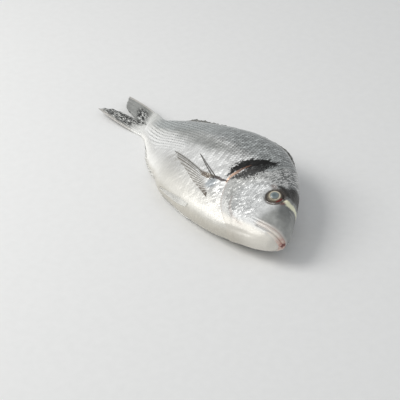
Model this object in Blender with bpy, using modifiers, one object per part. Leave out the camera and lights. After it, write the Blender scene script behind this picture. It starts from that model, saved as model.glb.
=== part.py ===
"""A whole raw gilthead sea bream, lying on its left side.

The fish is one solid: the body with its gill covers, lips and eyes, and every fin fused to it.
+X points to the snout, +Y to the back, and +Z is up, out of the right flank.
A place on the body is named by its station, the share of the standard length from the snout,
and by its height over the axis, which runs from the mouth to the middle of the tail root.
Heights and thicknesses of the body are shares of the standard length too.
"""

import bmesh
import bpy
import numpy as np

# Driving dimensions, in metres
STANDARD_LENGTH = 0.300
SNOUT_X = 0.1816
AXIS_Y = -0.0108
EYE_RADIUS = 0.0098
LIP_RADIUS = 0.0021
SPUR_RADIUS = 0.0013
FIN_THICKNESS = 0.0030
FOLD_THICKNESS = 0.0040

# How the fish lies, as (station, axis towards the back, axis over the floor, roll in degrees, back up).
# The soft left flank is pressed flat on the floor, and the tail stock is bent to the belly and twisted.
SPINE = [
    (0.00, 0.0, 0.0236, 13.4), (0.45, 0.0, 0.0224, 13.4), (0.60, 0.0, 0.0204, 14.4),
    (0.75, -0.0011, 0.0147, 21.5), (0.90, -0.0047, 0.0078, 33.0), (1.00, -0.0055, 0.0070, 36.0),
]

# The body's back, belly and half thickness, as (station, share)
BACK = [
    (0.00, 0.021), (0.02, 0.042), (0.06, 0.076), (0.12, 0.124), (0.20, 0.183), (0.30, 0.229),
    (0.40, 0.247), (0.52, 0.230), (0.66, 0.176), (0.80, 0.113), (0.88, 0.080), (0.94, 0.056), (1.00, 0.056),
]
BELLY = [
    (0.00, 0.026), (0.02, 0.045), (0.06, 0.071), (0.12, 0.099), (0.20, 0.133), (0.30, 0.161),
    (0.42, 0.179), (0.54, 0.183), (0.66, 0.153), (0.80, 0.117), (0.88, 0.076), (0.94, 0.051), (1.00, 0.051),
]
HALF_THICKNESS = [
    (0.00, 0.020), (0.02, 0.033), (0.05, 0.047), (0.10, 0.059), (0.15, 0.068), (0.20, 0.074), (0.30, 0.083),
    (0.40, 0.085), (0.50, 0.081), (0.60, 0.070), (0.70, 0.056), (0.80, 0.041), (0.90, 0.024), (1.00, 0.008),
]
SNOUT_ROUNDING = 0.026
SECTION_FULLNESS = 0.86
BACK_HEAVY = 0.14
TAIL_ROOT_LEAN = 0.012

# The rear edge of the gill cover, as (height, station)
GILL_EDGE = [
    (-0.155, 0.095), (-0.112, 0.160), (-0.090, 0.220), (-0.073, 0.254), (-0.031, 0.296), (0.010, 0.319),
    (0.050, 0.313), (0.085, 0.288), (0.120, 0.262),
]
GILL_STEP = 0.0022
GILL_RISE = 0.12
NAPE_FADE = (0.075, 0.110)
KEEL_FADE = (-0.150, -0.080)

# The groove between the cheek and the gill cover, as a share of the way to the cover's edge
CHEEK_SHARE = 0.70
CHEEK_GROOVE = 0.0009
CHEEK_GROOVE_WIDTH = 0.010

# The corner of the mouth and the centre of the eye, as (station, height)
MOUTH_CORNER = (0.084, -0.032)
EYE_AT = (0.151, 0.074)
EYE_SHOWING = 0.5
SOCKET_RIM = 0.0009
SOCKET_RIM_WIDTH = 0.0024

# Pectoral fin: its root, and the ends of its rays from the top one down, as (share, station, height)
PECTORAL_ROOT = [(0.0, 0.356, -0.040), (1.0, 0.336, -0.078)]
PECTORAL_ENDS = [
    (0.00, 0.644, -0.053), (0.15, 0.590, -0.070), (0.45, 0.478, -0.088), (0.75, 0.390, -0.096),
    (1.00, 0.322, -0.098),
]
PECTORAL_SPUR = [(0.0, 0.366, -0.037), (0.5, 0.450, -0.024), (1.0, 0.526, -0.011)]

# Pelvic fin, folded on the belly: (share along it, station, degrees from the keel, half width in degrees)
PELVIC = [(0.0, 0.365, 22.0, 4.0), (0.3, 0.42, 19.0, 6.0), (0.7, 0.49, 15.0, 4.5), (1.0, 0.545, 13.0, 2.5)]

# Folded fins on the back and behind the vent: (station, height of the fold in metres)
DORSAL_FOLD = [
    (0.305, 0.0002), (0.36, 0.0026), (0.42, 0.0038), (0.60, 0.0048), (0.74, 0.0058), (0.80, 0.0064),
    (0.83, 0.0045), (0.845, 0.0005),
]
ANAL_FOLD = [(0.655, 0.0005), (0.675, 0.0020), (0.76, 0.0024), (0.82, 0.0026), (0.85, 0.0018), (0.87, 0.0005)]

# Tail fin: the station of its root, sunk in the body, and the ends of its rays from the upper lobe to the
# lower one, with the fork between them, as (share, behind the snout, over the axis, over the floor) in metres
TAIL_ROOT_AT = 0.955
TAIL_ROOT_INSET = 0.94
TAIL_ENDS = [
    (0.00, 0.365, 0.003, 0.0084), (0.20, 0.356, -0.004, 0.0089), (0.38, 0.346, -0.010, 0.0094),
    (0.46, 0.334, -0.013, 0.0089), (0.50, 0.318, -0.012, 0.0069), (0.54, 0.335, -0.017, 0.0054),
    (0.64, 0.345, -0.0215, 0.0059), (0.78, 0.352, -0.0275, 0.0064), (1.00, 0.359, -0.040, 0.0074),
]
TAIL_BULGE = 0.0022

# How finely the surfaces are divided
NOSE_RINGS = 25
TRUNK_RINGS = 29
POINTS_AROUND = 44
TAIL_RAYS = 17
PECTORAL_RAYS = 9
RIB = 0.0004

# The middle of a thin fin stays this high, which keeps its underside off the floor
FLOOR_CLEARANCE = FOLD_THICKNESS / 2 + 0.0002

# The rings each side of the gill cover's edge, ahead of it and behind it in metres
RING_AHEAD = 0.00015
RING_BEHIND = 0.0003


def along(knots, at):
    """Smooth curves through (place, values...) knots, read at one place or an array, with no overshoot."""
    places, *columns = np.array(knots, float).T
    at = np.clip(np.asarray(at, float), places[0], places[-1])
    width = np.diff(places)
    i = np.clip(np.searchsorted(places, at, side="right") - 1, 0, len(width) - 1)
    u = (at - places[i]) / width[i]
    read = []
    for values in columns:
        slope = np.diff(values) / width
        before, after = slope[:-1], slope[1:]
        same_way = before * after > 0
        inner = np.where(same_way, 2 * before * after / np.where(same_way, before + after, 1.0), 0.0)
        tangent = np.concatenate([[slope[0]], inner, [slope[-1]]])
        rise = (1 - u) ** 2 * (1 + 2 * u) * values[i] + u**2 * (3 - 2 * u) * values[i + 1]
        read.append(rise + width[i] * (u * (1 - u) ** 2 * tangent[i] - u**2 * (1 - u) * tangent[i + 1]))
    return read[0] if len(read) == 1 else np.stack(read, axis=-1)


def ease(low, high, value):
    """0 below low, 1 above high, and a smooth rise between them."""
    u = np.clip((np.asarray(value, float) - low) / (high - low), 0.0, 1.0)
    return u * u * (3 - 2 * u)


def bump(value, width):
    """1 at 0, falling smoothly to 0 over about two widths."""
    return np.exp(-((np.asarray(value, float) / width) ** 2))


def outline(station):
    """The middle height, half height and half thickness of a station's section, rounded off at the snout."""
    rounding = np.sqrt(1 - (1 - np.clip(station / SNOUT_ROUNDING, 0.0, 1.0)) ** 2)
    back, belly, half = (along(knots, station) * rounding for knots in (BACK, BELLY, HALF_THICKNESS))
    return (back - belly) / 2, (back + belly) / 2, half


def section(station, angle):
    """(height, side) of the skin before the body is laid down. Angle 0 is the back, 90 the right flank."""
    middle, half_height, half = outline(station)
    swell = np.abs(np.sin(angle)) ** SECTION_FULLNESS * (1 + BACK_HEAVY * np.cos(angle))
    return middle + half_height * np.cos(angle), half * np.sign(np.sin(angle)) * swell


def angle_at(station, height, side):
    """The angle round the section at a height over the axis, on the right (1) or left (-1) flank."""
    middle, half_height, _ = outline(station)
    return side * np.arccos(np.clip((height - middle) / half_height, -1.0, 1.0))


def laid_down(station, height, side):
    """Where a point of the body, given in shares, is on the fish as it lies on the floor, in metres."""
    station, height, side = np.broadcast_arrays(station, height, side)
    step = 0.001
    axis_y, axis_z, roll = np.moveaxis(along(SPINE, station), -1, 0)
    rise = along(SPINE, station - step)[..., 0] - along(SPINE, station + step)[..., 0]
    heading = np.arctan2(rise, 2 * step * STANDARD_LENGTH)
    roll = np.radians(roll)
    across = (height * np.cos(roll) - side * np.sin(roll)) * STANDARD_LENGTH
    up = (height * np.sin(roll) + side * np.cos(roll)) * STANDARD_LENGTH
    x = SNOUT_X - station * STANDARD_LENGTH - across * np.sin(heading)
    y = AXIS_Y + axis_y + across * np.cos(heading)
    return np.stack([x, y, np.maximum(axis_z + up, 0.0)], axis=-1)


def relief(station, height, angle):
    """How far the skin stands proud of the smooth section, in metres: gill covers, cheeks and eye sockets."""
    edge = along(GILL_EDGE, height)
    on_flanks = ease(0.3, 0.5, np.abs(np.sin(angle)))
    below_nape = 1 - ease(*NAPE_FADE, height)
    above_keel = ease(*KEEL_FADE, height)
    cover = GILL_STEP * ease(-GILL_RISE, 0.0, station - edge) * (station < edge) * below_nape * above_keel
    cheek = CHEEK_GROOVE * bump(station - edge * CHEEK_SHARE, CHEEK_GROOVE_WIDTH) * below_nape
    behind_snout = ease(0.06, 0.10, station)
    from_eye = np.hypot(station - EYE_AT[0], height - EYE_AT[1]) * STANDARD_LENGTH
    rim = SOCKET_RIM * bump(from_eye - EYE_RADIUS * 1.3, SOCKET_RIM_WIDTH) * on_flanks
    return cover - cheek * behind_snout + rim


def skin(station, angle, proud=0.0):
    """Points on the laid fish's skin, pushed out by its relief and by proud metres more."""
    height, side = section(station, angle)
    _, half_height, half = outline(station)
    lift = (relief(station, height, angle) + proud) / STANDARD_LENGTH
    out_height, out_side = np.cos(angle) * half, np.sin(angle) * half_height
    size = np.hypot(out_height, out_side) + 1e-9
    return laid_down(station, height + lift * out_height / size, side + lift * out_side / size)


def on_flank(station, height, side=1, proud=0.0):
    return skin(station, angle_at(station, height, side), proud)


def gill_station(angle):
    """Where the gill cover's edge crosses the line along the body at an angle, found by halving."""
    low, high = np.zeros_like(angle), np.full_like(angle, 0.4)
    for _ in range(30):
        station = (low + high) / 2
        beyond = station > along(GILL_EDGE, section(station, angle)[0])
        low, high = np.where(beyond, low, station), np.where(beyond, station, high)
    return (low + high) / 2


def in_shares_of_length(metres):
    return metres / STANDARD_LENGTH


def new_object(name, bm, collection):
    """A mesh object of the bmesh, with its faces turned out."""
    bmesh.ops.recalc_face_normals(bm, faces=bm.faces)
    mesh = bpy.data.meshes.new(name)
    bm.to_mesh(mesh)
    bm.free()
    made = bpy.data.objects.new(name, mesh)
    collection.objects.link(made)
    return made


def add_grid(bm, points, closed=False):
    """Vertices at points[row][column], with quads between them; closed joins the last column to the first."""
    rows, columns = points.shape[:2]
    verts = [[bm.verts.new(points[i, j]) for j in range(columns)] for i in range(rows)]
    for i in range(rows - 1):
        for j in range(columns if closed else columns - 1):
            k = (j + 1) % columns
            bm.faces.new((verts[i][j], verts[i][k], verts[i + 1][k], verts[i + 1][j]))
    return verts


def body(collection):
    """The body, a loft of rings from snout to tail root, with one ring each side of the gill cover's edge."""
    angle = np.linspace(0, 2 * np.pi, POINTS_AROUND, endpoint=False)
    gill = gill_station(angle)
    end = 1.0 - TAIL_ROOT_LEAN * (1 - np.cos(angle))
    nose_share = 1 - np.cos(np.linspace(0, np.pi / 2, NOSE_RINGS))
    trunk_share = np.linspace(0, 1, TRUNK_RINGS)
    nose = np.outer(nose_share[1:], gill - in_shares_of_length(RING_AHEAD))
    behind = gill + in_shares_of_length(RING_BEHIND)
    trunk = behind + np.outer(trunk_share, end - behind)
    stations = np.concatenate([nose, trunk])
    bm = bmesh.new()
    verts = add_grid(bm, skin(stations, np.broadcast_to(angle, stations.shape)), closed=True)
    bm.faces.new(verts[0])
    bm.faces.new(verts[-1])
    return new_object("body", bm, collection)


def blade(name, middle, collection, thickness=FIN_THICKNESS, edge_share=0.35):
    """A thin solid about a grid of points, whose rows run from the fin's root to its thinner edge."""
    middle[..., 2] = np.maximum(middle[..., 2], FLOOR_CLEARANCE)
    bm = bmesh.new()
    verts = add_grid(bm, middle)
    made = new_object(name, bm, collection)
    taper = made.vertex_groups.new(name="thickness")
    rows, columns = len(verts), len(verts[0])
    for row in range(rows):
        taper.add(list(range(row * columns, (row + 1) * columns)), 1 - row / (rows - 1), "REPLACE")
    shell = made.modifiers.new("thickness", "SOLIDIFY")
    shell.thickness = thickness
    shell.offset = 0.0
    shell.vertex_group = taper.name
    shell.thickness_vertex_group = edge_share
    return made


def fan(roots, ends, rows):
    """Points along rays, from a row of roots to a row of ends."""
    share = np.linspace(0, 1, rows)[:, None, None]
    return roots + (ends - roots) * share


def ribs(rays, columns):
    """The rise and fall across a fin of so many rays."""
    return RIB * np.cos(2 * np.pi * rays * np.linspace(0, 1, columns))


def tail_fin(name, collection):
    """The forked tail fin: rays from the tail root to its rear edge, and outer edges that bulge a little."""
    columns = 2 * TAIL_RAYS + 1
    share = np.linspace(0, 1, columns)
    middle, half_height, _ = outline(TAIL_ROOT_AT)
    roots = laid_down(TAIL_ROOT_AT, middle + half_height * TAIL_ROOT_INSET * (1 - 2 * share), 0.0)
    behind, over_axis, over_floor = along(TAIL_ENDS, share).T
    ends = np.stack([SNOUT_X - behind, AXIS_Y + over_axis, over_floor], axis=-1)
    points = fan(roots, ends, rows=9)
    rise = np.linspace(0, 1, len(points))[:, None]
    points[..., 1] += TAIL_BULGE * np.sin(np.pi * rise) * (1 - 2 * share)
    points[..., 2] += ribs(TAIL_RAYS, columns) * rise
    return blade(name, points, collection)


def pectoral_fin(name, side, collection):
    """The fan of the pectoral fin, lying on its flank behind the gill cover."""
    columns = 2 * PECTORAL_RAYS + 1
    share = np.linspace(0, 1, columns)
    places = fan(along(PECTORAL_ROOT, share), along(PECTORAL_ENDS, share), rows=9)
    station, height = np.moveaxis(places, -1, 0)
    sunk_root = -FIN_THICKNESS / 3 * np.linspace(1, 0, len(places))[:, None]
    points = on_flank(station, height, side, sunk_root + ribs(PECTORAL_RAYS, columns) / 2)
    return blade(name, points, collection, edge_share=0.5)


def pectoral_spur(name, side, collection):
    """The stiff first ray of the pectoral fin, which has sprung free of the fan, as a slim tapered rod."""
    share = np.linspace(0, 1, 10)
    station, height = along(PECTORAL_SPUR, share).T
    points = on_flank(station, height, side)
    points[:, 2] = np.maximum(points[:, 2], FLOOR_CLEARANCE)
    return tube(name, points, SPUR_RADIUS * (1 - 0.5 * share), collection)


def pelvic_fin(name, side, collection):
    """A pelvic fin, folded back against the belly beside the keel."""
    station, centre, half_width = along(PELVIC, np.linspace(0, 1, 12)).T
    across = np.linspace(-1, 1, 7)
    angle = side * np.radians(180 - centre[:, None] + half_width[:, None] * across)
    points = skin(np.broadcast_to(station[:, None], angle.shape), angle, ribs(3, len(across)) / 2)
    return blade(name, points, collection, thickness=FIN_THICKNESS * 0.6, edge_share=0.6)


def folded_fin(name, knots, angle, columns, collection):
    """A fin folded down along the back (angle 0) or along the keel (angle 180), with slanting rays."""
    station = np.linspace(knots[0][0], knots[-1][0], columns)
    rows = np.linspace(0, 1, 4)[:, None]
    proud = rows * along(knots, station) - 0.0025 * (1 - rows)
    middle, half_height, _ = outline(station)
    upright = np.cos(angle)
    height = middle + upright * (half_height + in_shares_of_length(proud))
    sway = in_shares_of_length(RIB) * np.cos(0.9 * np.arange(columns) - 2.0 * rows)
    return blade(name, laid_down(station, height, sway), collection, thickness=FOLD_THICKNESS, edge_share=0.3)


def eye(name, side, collection):
    """The bulging eye: a ball set deep in the head, so that a shallow dome shows."""
    ball_radius = EYE_RADIUS * 1.25
    surface = on_flank(EYE_AT[0], EYE_AT[1], side)
    inside = on_flank(EYE_AT[0], EYE_AT[1], side, -0.001)
    outward = (surface - inside) / np.linalg.norm(surface - inside)
    showing = ball_radius - np.sqrt(ball_radius**2 - EYE_RADIUS**2)
    bm = bmesh.new()
    bmesh.ops.create_icosphere(bm, subdivisions=3, radius=ball_radius)
    bmesh.ops.translate(bm, verts=bm.verts, vec=surface - outward * (ball_radius - showing * EYE_SHOWING))
    return new_object(name, bm, collection)


def snout_reaches(height):
    """The first station where the rounded snout is as high, or as low, as a height over the axis."""
    station = np.linspace(0.0, SNOUT_ROUNDING, 500)
    middle, half_height, _ = outline(station)
    reach = np.sign(height) * middle + half_height
    return station[np.argmax(reach > abs(height))]


def lip(name, above, collection):
    """A lip from one corner of the mouth round the snout to the other, over (1) or under (-1) the gape."""
    share = np.linspace(-1, 1, 25)
    offset = above * in_shares_of_length(LIP_RADIUS)
    front = snout_reaches(offset)
    station = front + (MOUTH_CORNER[0] - front) * share**2
    height = MOUTH_CORNER[1] * share**2 + offset * (1 - 0.3 * share**2)
    points = on_flank(station, height, np.where(share < 0, -1, 1), -LIP_RADIUS * 0.3)
    radius = LIP_RADIUS * (1 - 0.45 * share**2)
    return tube(name, points, radius, collection)


def tube(name, points, radius, collection):
    """A closed tube along points, of its own radius at each."""
    curve = bpy.data.curves.new(name, "CURVE")
    curve.dimensions = "3D"
    curve.bevel_depth = 1.0
    curve.bevel_resolution = 2
    curve.use_fill_caps = True
    spline = curve.splines.new("POLY")
    spline.points.add(len(points) - 1)
    for point, place, size in zip(spline.points, points, radius):
        point.co = (*place, 1.0)
        point.radius = size
    guide = bpy.data.objects.new(name + "_guide", curve)
    collection.objects.link(guide)
    bm = bmesh.new()
    bm.from_mesh(guide.to_mesh())
    bmesh.ops.remove_doubles(bm, verts=bm.verts, dist=1e-6)
    bpy.data.objects.remove(guide)
    return new_object(name, bm, collection)


def keep_outer_shell(mesh):
    """Fills any hollow that fusing sealed and drops loose scraps: only the largest shell stays."""
    bm = bmesh.new()
    bm.from_mesh(mesh)
    bmesh.ops.triangulate(bm, faces=bm.faces)
    unseen = set(bm.verts)
    shells = []
    while unseen:
        shell, edge_of_shell = set(), [unseen.pop()]
        while edge_of_shell:
            vert = edge_of_shell.pop()
            shell.add(vert)
            near = {edge.other_vert(vert) for edge in vert.link_edges} & unseen
            unseen -= near
            edge_of_shell.extend(near)
        shells.append(shell)
    shells.sort(key=len)
    print("shells after fusing:", [len(shell) for shell in shells])
    for shell in shells[:-1]:
        bmesh.ops.delete(bm, geom=list(shell), context="VERTS")
    bm.to_mesh(mesh)
    bm.free()


def silver_skin():
    material = bpy.data.materials.new("silver_skin")
    material.use_nodes = True
    shader = material.node_tree.nodes["Principled BSDF"]
    shader.inputs["Base Color"].default_value = (0.56, 0.57, 0.56, 1.0)
    shader.inputs["Roughness"].default_value = 0.35
    shader.inputs["Metallic"].default_value = 0.25
    return material


def fuse(fish, pieces):
    """Joins every piece to the fish in one union, applies it, and removes the pieces."""
    union = fish.modifiers.new("fuse", "BOOLEAN")
    union.operation = "UNION"
    union.operand_type = "COLLECTION"
    union.collection = pieces
    union.solver = "MANIFOLD"
    bpy.context.view_layer.update()
    fused = bpy.data.meshes.new_from_object(fish.evaluated_get(bpy.context.evaluated_depsgraph_get()))
    fish.modifiers.remove(union)
    fish.data = fused
    for piece in list(pieces.objects):
        bpy.data.objects.remove(piece)
    bpy.data.collections.remove(pieces)
    keep_outer_shell(fish.data)


def build():
    for leftover in list(bpy.data.objects):
        bpy.data.objects.remove(leftover)
    bream = bpy.data.collections.new("sea_bream")
    bpy.context.scene.collection.children.link(bream)
    pieces = bpy.data.collections.new("fins_eyes_and_lips")
    bpy.context.scene.collection.children.link(pieces)

    fish = body(bream)
    tail_fin("tail_fin", pieces)
    for side, flank in ((1, "right"), (-1, "left")):
        pectoral_fin("pectoral_" + flank, side, pieces)
        pectoral_spur("pectoral_spur_" + flank, side, pieces)
        pelvic_fin("pelvic_" + flank, side, pieces)
        eye("eye_" + flank, side, pieces)
    folded_fin("dorsal_fin", DORSAL_FOLD, 0.0, 42, pieces)
    folded_fin("anal_fin", ANAL_FOLD, np.pi, 20, pieces)
    lip("upper_lip", 1, pieces)
    lip("lower_lip", -1, pieces)
    fuse(fish, pieces)

    fish.name = fish.data.name = "sea_bream"
    fish.data.materials.clear()
    fish.data.materials.append(silver_skin())
    fish.data.shade_smooth()
    fish.data.set_sharp_from_angle(angle=np.radians(50))


build()
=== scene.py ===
# %% [markdown]
# # A raw sea bream, from plain solid to wet silver fish
# The plain fish is one closed solid at its real size: body, lips, eyes and fins fused together.
# This lesson puts a finished surface over it. Every piece is worked out from the same lines as the
# solid, so nothing has to be fitted by eye: a dense skin with scales, eyes, lips, and fins with rays.

from types import SimpleNamespace

import bpy
import numpy as np
from mathutils import Matrix


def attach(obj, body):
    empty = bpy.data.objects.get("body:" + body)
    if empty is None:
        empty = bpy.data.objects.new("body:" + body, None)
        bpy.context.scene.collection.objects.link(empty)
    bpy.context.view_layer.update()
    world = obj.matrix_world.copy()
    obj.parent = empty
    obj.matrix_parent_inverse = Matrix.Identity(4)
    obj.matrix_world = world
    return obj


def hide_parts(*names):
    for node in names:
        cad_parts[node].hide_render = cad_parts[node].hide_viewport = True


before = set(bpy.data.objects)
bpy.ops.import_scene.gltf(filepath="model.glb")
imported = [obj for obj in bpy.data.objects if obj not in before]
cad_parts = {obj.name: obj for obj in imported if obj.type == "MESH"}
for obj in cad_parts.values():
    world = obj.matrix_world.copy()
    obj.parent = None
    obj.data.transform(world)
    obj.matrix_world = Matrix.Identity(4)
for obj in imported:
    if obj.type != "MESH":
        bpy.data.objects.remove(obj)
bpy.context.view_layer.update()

# %% [markdown]
# ## The camera
# A long lens from about one and a half metres flattens the fish only a little, as a product
# photographer would choose. The direction is given by two angles and a small roll, because those
# can be read off a picture more surely than a position can.

# %% Place the camera
AZIMUTH, ELEVATION, ROLL = np.radians([64.21, 33.34, 1.74])
AIM = np.array([0.0080, -0.0130, -0.0244])
DISTANCE = 1.473
LENS_MM = 123.7


def looking_from(azimuth, elevation):
    """The unit vector back to whoever looks at the fish, and the level one to their right."""
    back = [np.sin(azimuth) * np.cos(elevation), -np.cos(azimuth) * np.cos(elevation), np.sin(elevation)]
    return np.array(back), np.array([np.cos(azimuth), np.sin(azimuth), 0.0])


def place_camera():
    back, level = looking_from(AZIMUTH, ELEVATION)
    upright = np.cross(back, level)
    right = np.cos(ROLL) * level - np.sin(ROLL) * upright
    top = np.sin(ROLL) * level + np.cos(ROLL) * upright
    camera = bpy.data.objects.new("camera", bpy.data.cameras.new("camera"))
    camera.data.lens = LENS_MM
    turned = Matrix(np.column_stack([right, top, back]).tolist()).to_4x4()
    turned.translation = (AIM + DISTANCE * back).tolist()
    camera.matrix_world = turned
    bpy.context.scene.collection.objects.link(camera)
    bpy.context.scene.camera = camera
    return camera


print("camera at", tuple(place_camera().location))

# %% [markdown]
# ## Shader maths as plain expressions
# A material's node tree is a formula drawn as boxes. `Field` wraps one socket and overloads the
# operators, so that `1 - mask * 0.5` adds the Math nodes by itself. `Finish` is one material in the
# making: its `node` method makes any other node from its type, its settings and its sockets.

# %% A socket that can be reckoned with
class Field:
    def __init__(self, finish, socket):
        self.finish = finish
        self.socket = socket

    def maths(self, operation, *others):
        return self.finish.node("ShaderNodeMath", {"operation": operation}, [self, *others])

    def reversed(self, operation, other):
        return self.finish.node("ShaderNodeMath", {"operation": operation}, [other, self])

    def __add__(self, other):
        return self.maths("ADD", other)

    def __sub__(self, other):
        return self.maths("SUBTRACT", other)

    def __rsub__(self, other):
        return self.reversed("SUBTRACT", other)

    def __mul__(self, other):
        return self.maths("MULTIPLY", other)

    def __lt__(self, other):
        return self.maths("LESS_THAN", other)

    __radd__ = __add__
    __rmul__ = __mul__

    def rise(self, low, high):
        """0 below low, 1 above high, and a smooth rise between them."""
        smooth = {"interpolation_type": "SMOOTHSTEP"}
        sockets = {"Value": self, "From Min": low, "From Max": high}
        return self.finish.node("ShaderNodeMapRange", smooth, sockets)

    def fall(self, low, high):
        return 1 - self.rise(low, high)

    def near(self, middle, width):
        """1 at the middle, falling smoothly to 0 at a width from it."""
        return (self - middle).maths("ABSOLUTE").fall(0.0, width)


# %% A material in the making
class Finish:
    def __init__(self, name):
        self.material = bpy.data.materials.new(name)
        self.material.use_nodes = True
        self.tree = self.material.node_tree
        self.shader = self.tree.nodes["Principled BSDF"]

    def feed(self, socket, value):
        if isinstance(value, Field):
            self.tree.links.new(value.socket, socket)
        elif socket.type == "RGBA":
            socket.default_value = (*value, 1.0)
        else:
            socket.default_value = value

    def node(self, kind, settings=None, sockets=(), out=0):
        made = self.tree.nodes.new(kind)
        for setting, value in (settings or {}).items():
            setattr(made, setting, value)
        named = sockets.items() if isinstance(sockets, dict) else enumerate(sockets)
        for name, value in named:
            self.feed(made.inputs[name], value)
        return Field(self, made.outputs[out])

    def marked(self, attribute):
        """The three numbers that each point of the mesh carries under a name."""
        read = self.node("ShaderNodeAttribute", {"attribute_name": attribute}, out="Vector")
        return self.parts(read)

    def parts(self, vector):
        """The three numbers of a vector or colour."""
        split = self.tree.nodes.new("ShaderNodeSeparateXYZ")
        self.feed(split.inputs[0], vector)
        return [Field(self, split.outputs[axis]) for axis in range(3)]

    def noise(self, size_mm, detail=2.0, at=None, out=0):
        """Cloudy noise between 0 and 1, with lumps of a size in mm, or in the units of the place at."""
        scale = 1000.0 / size_mm if at is None else 1.0 / size_mm
        at = at or self.node("ShaderNodeTexCoord", out="Object")
        return self.node("ShaderNodeTexNoise", None, {"Vector": at, "Scale": scale, "Detail": detail}, out)

    def blend(self, under, over, mask):
        """A colour laid over another where the mask is 1."""
        return self.node("ShaderNodeMix", {"data_type": "RGBA"}, {0: mask, 6: under, 7: over}, out=2)

    def coats(self, colour, *coats):
        """Coats of (colour, mask) laid over a colour, one after the other."""
        for coat, mask in coats:
            colour = self.blend(colour, coat, mask)
        return colour

    def brighten(self, colour, factor):
        return self.node("ShaderNodeVectorMath", {"operation": "SCALE"}, {0: colour, "Scale": factor})

    def set(self, **sockets):
        """Feeds the shader's own sockets; an underscore stands for a space."""
        for name, value in sockets.items():
            self.feed(self.shader.inputs[name.replace("_", " ")], value)

    def bump(self, height_mm):
        settings = {"Height": height_mm * 0.001, "Distance": 1.0, "Strength": 1.0}
        self.set(Normal=self.node("ShaderNodeBump", None, settings))


def paint(red, green, blue):
    """A colour as it is seen on a screen, 0 to 255, as the shader's linear light."""
    seen = np.array([red, green, blue]) / 255.0
    return tuple(np.where(seen <= 0.04045, seen / 12.92, ((seen + 0.055) / 1.055) ** 2.4).tolist())


print("a mid grey of 128 is", round(paint(128, 128, 128)[0], 3), "in linear light")

# %% [markdown]
# ## Floor and light
# The fish lies on a plain pale floor. A wide softbox stands high behind its left and a weaker one
# fills from the right, with a pale sky all round, so wet scales find something soft to mirror.

# %% Set up the studio
FLOOR_SIZE = 6.0
FLOOR_GAP = 0.0003
FLOOR_GREY = paint(236, 236, 235)
FLOOR_PALE = paint(243, 243, 242)
SKY_COLOUR = (0.93, 0.95, 0.97, 1.0)
SKY_STRENGTH = 0.46


def floor():
    half = FLOOR_SIZE / 2
    mesh = bpy.data.meshes.new("floor")
    corners = [(-half, -half, 0), (half, -half, 0), (half, half, 0), (-half, half, 0)]
    mesh.from_pydata(corners, [], [(0, 1, 2, 3)])
    sheet = bpy.data.objects.new("floor", mesh)
    sheet.location.z = -FLOOR_GAP
    bpy.context.scene.collection.objects.link(sheet)
    pale = Finish("pale_floor")
    pale.set(Base_Color=pale.blend(FLOOR_GREY, FLOOR_PALE, pale.noise(9.0, detail=4.0)), Roughness=0.75)
    mesh.materials.append(pale.material)


def softbox(name, azimuth, elevation, distance, size, power, colour):
    """A square area light that looks at the fish from an azimuth and elevation in degrees."""
    back, level = looking_from(*np.radians([azimuth, elevation]))
    lamp = bpy.data.lights.new(name, "AREA")
    lamp.size = size
    lamp.energy = power
    lamp.color = colour
    made = bpy.data.objects.new(name, lamp)
    turned = Matrix(np.column_stack([level, np.cross(back, level), back]).tolist()).to_4x4()
    turned.translation = (distance * back).tolist()
    made.matrix_world = turned
    bpy.context.scene.collection.objects.link(made)


floor()
softbox("key", azimuth=-30, elevation=44, distance=1.6, size=1.0, power=16.0, colour=(1.0, 0.99, 0.97))
softbox("fill", azimuth=120, elevation=40, distance=2.0, size=1.2, power=3.0, colour=(0.96, 0.98, 1.0))
sky = bpy.data.worlds.new("pale_sky")
sky.use_nodes = True
sky.node_tree.nodes["Background"].inputs["Color"].default_value = SKY_COLOUR
sky.node_tree.nodes["Background"].inputs["Strength"].default_value = SKY_STRENGTH
bpy.context.scene.world = sky
bpy.context.scene.view_settings.view_transform = "Standard"
print("floor, two softboxes and a pale sky are set")

# %% [markdown]
# ## The lines of the fish
# A fish can be drawn with very few lines: how high the back rises, how deep the belly hangs and how
# thick the flesh is, each at a few stations from the snout to the tail root. These are the solid's
# own lines, given again here, as shares of the standard length. `SPINE` says how the fish lies:
# rolled on its side, with its tail stock bent to the belly and twisted.

# %% The body's lines
STANDARD_LENGTH = 0.300
SNOUT_X = 0.1816
AXIS_Y = -0.0108
SPINE = [
    (0.00, 0.0, 0.0236, 13.4), (0.45, 0.0, 0.0224, 13.4), (0.60, 0.0, 0.0204, 14.4),
    (0.75, -0.0011, 0.0147, 21.5), (0.90, -0.0047, 0.0078, 33.0), (1.00, -0.0055, 0.0070, 36.0),
]
BACK = [
    (0.00, 0.021), (0.02, 0.042), (0.06, 0.076), (0.12, 0.124), (0.20, 0.183), (0.30, 0.229),
    (0.40, 0.247), (0.52, 0.230), (0.66, 0.176), (0.80, 0.113), (0.88, 0.080), (0.94, 0.056), (1.00, 0.056),
]
BELLY = [
    (0.00, 0.026), (0.02, 0.045), (0.06, 0.071), (0.12, 0.099), (0.20, 0.133), (0.30, 0.161),
    (0.42, 0.179), (0.54, 0.183), (0.66, 0.153), (0.80, 0.117), (0.88, 0.076), (0.94, 0.051), (1.00, 0.051),
]
HALF_THICKNESS = [
    (0.00, 0.020), (0.02, 0.033), (0.05, 0.047), (0.10, 0.059), (0.15, 0.068), (0.20, 0.074), (0.30, 0.083),
    (0.40, 0.085), (0.50, 0.081), (0.60, 0.070), (0.70, 0.056), (0.80, 0.041), (0.90, 0.024), (1.00, 0.008),
]
SNOUT_ROUNDING = 0.026
SECTION_FULLNESS = 0.86
BACK_HEAVY = 0.14
TAIL_ROOT_LEAN = 0.012


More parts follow.
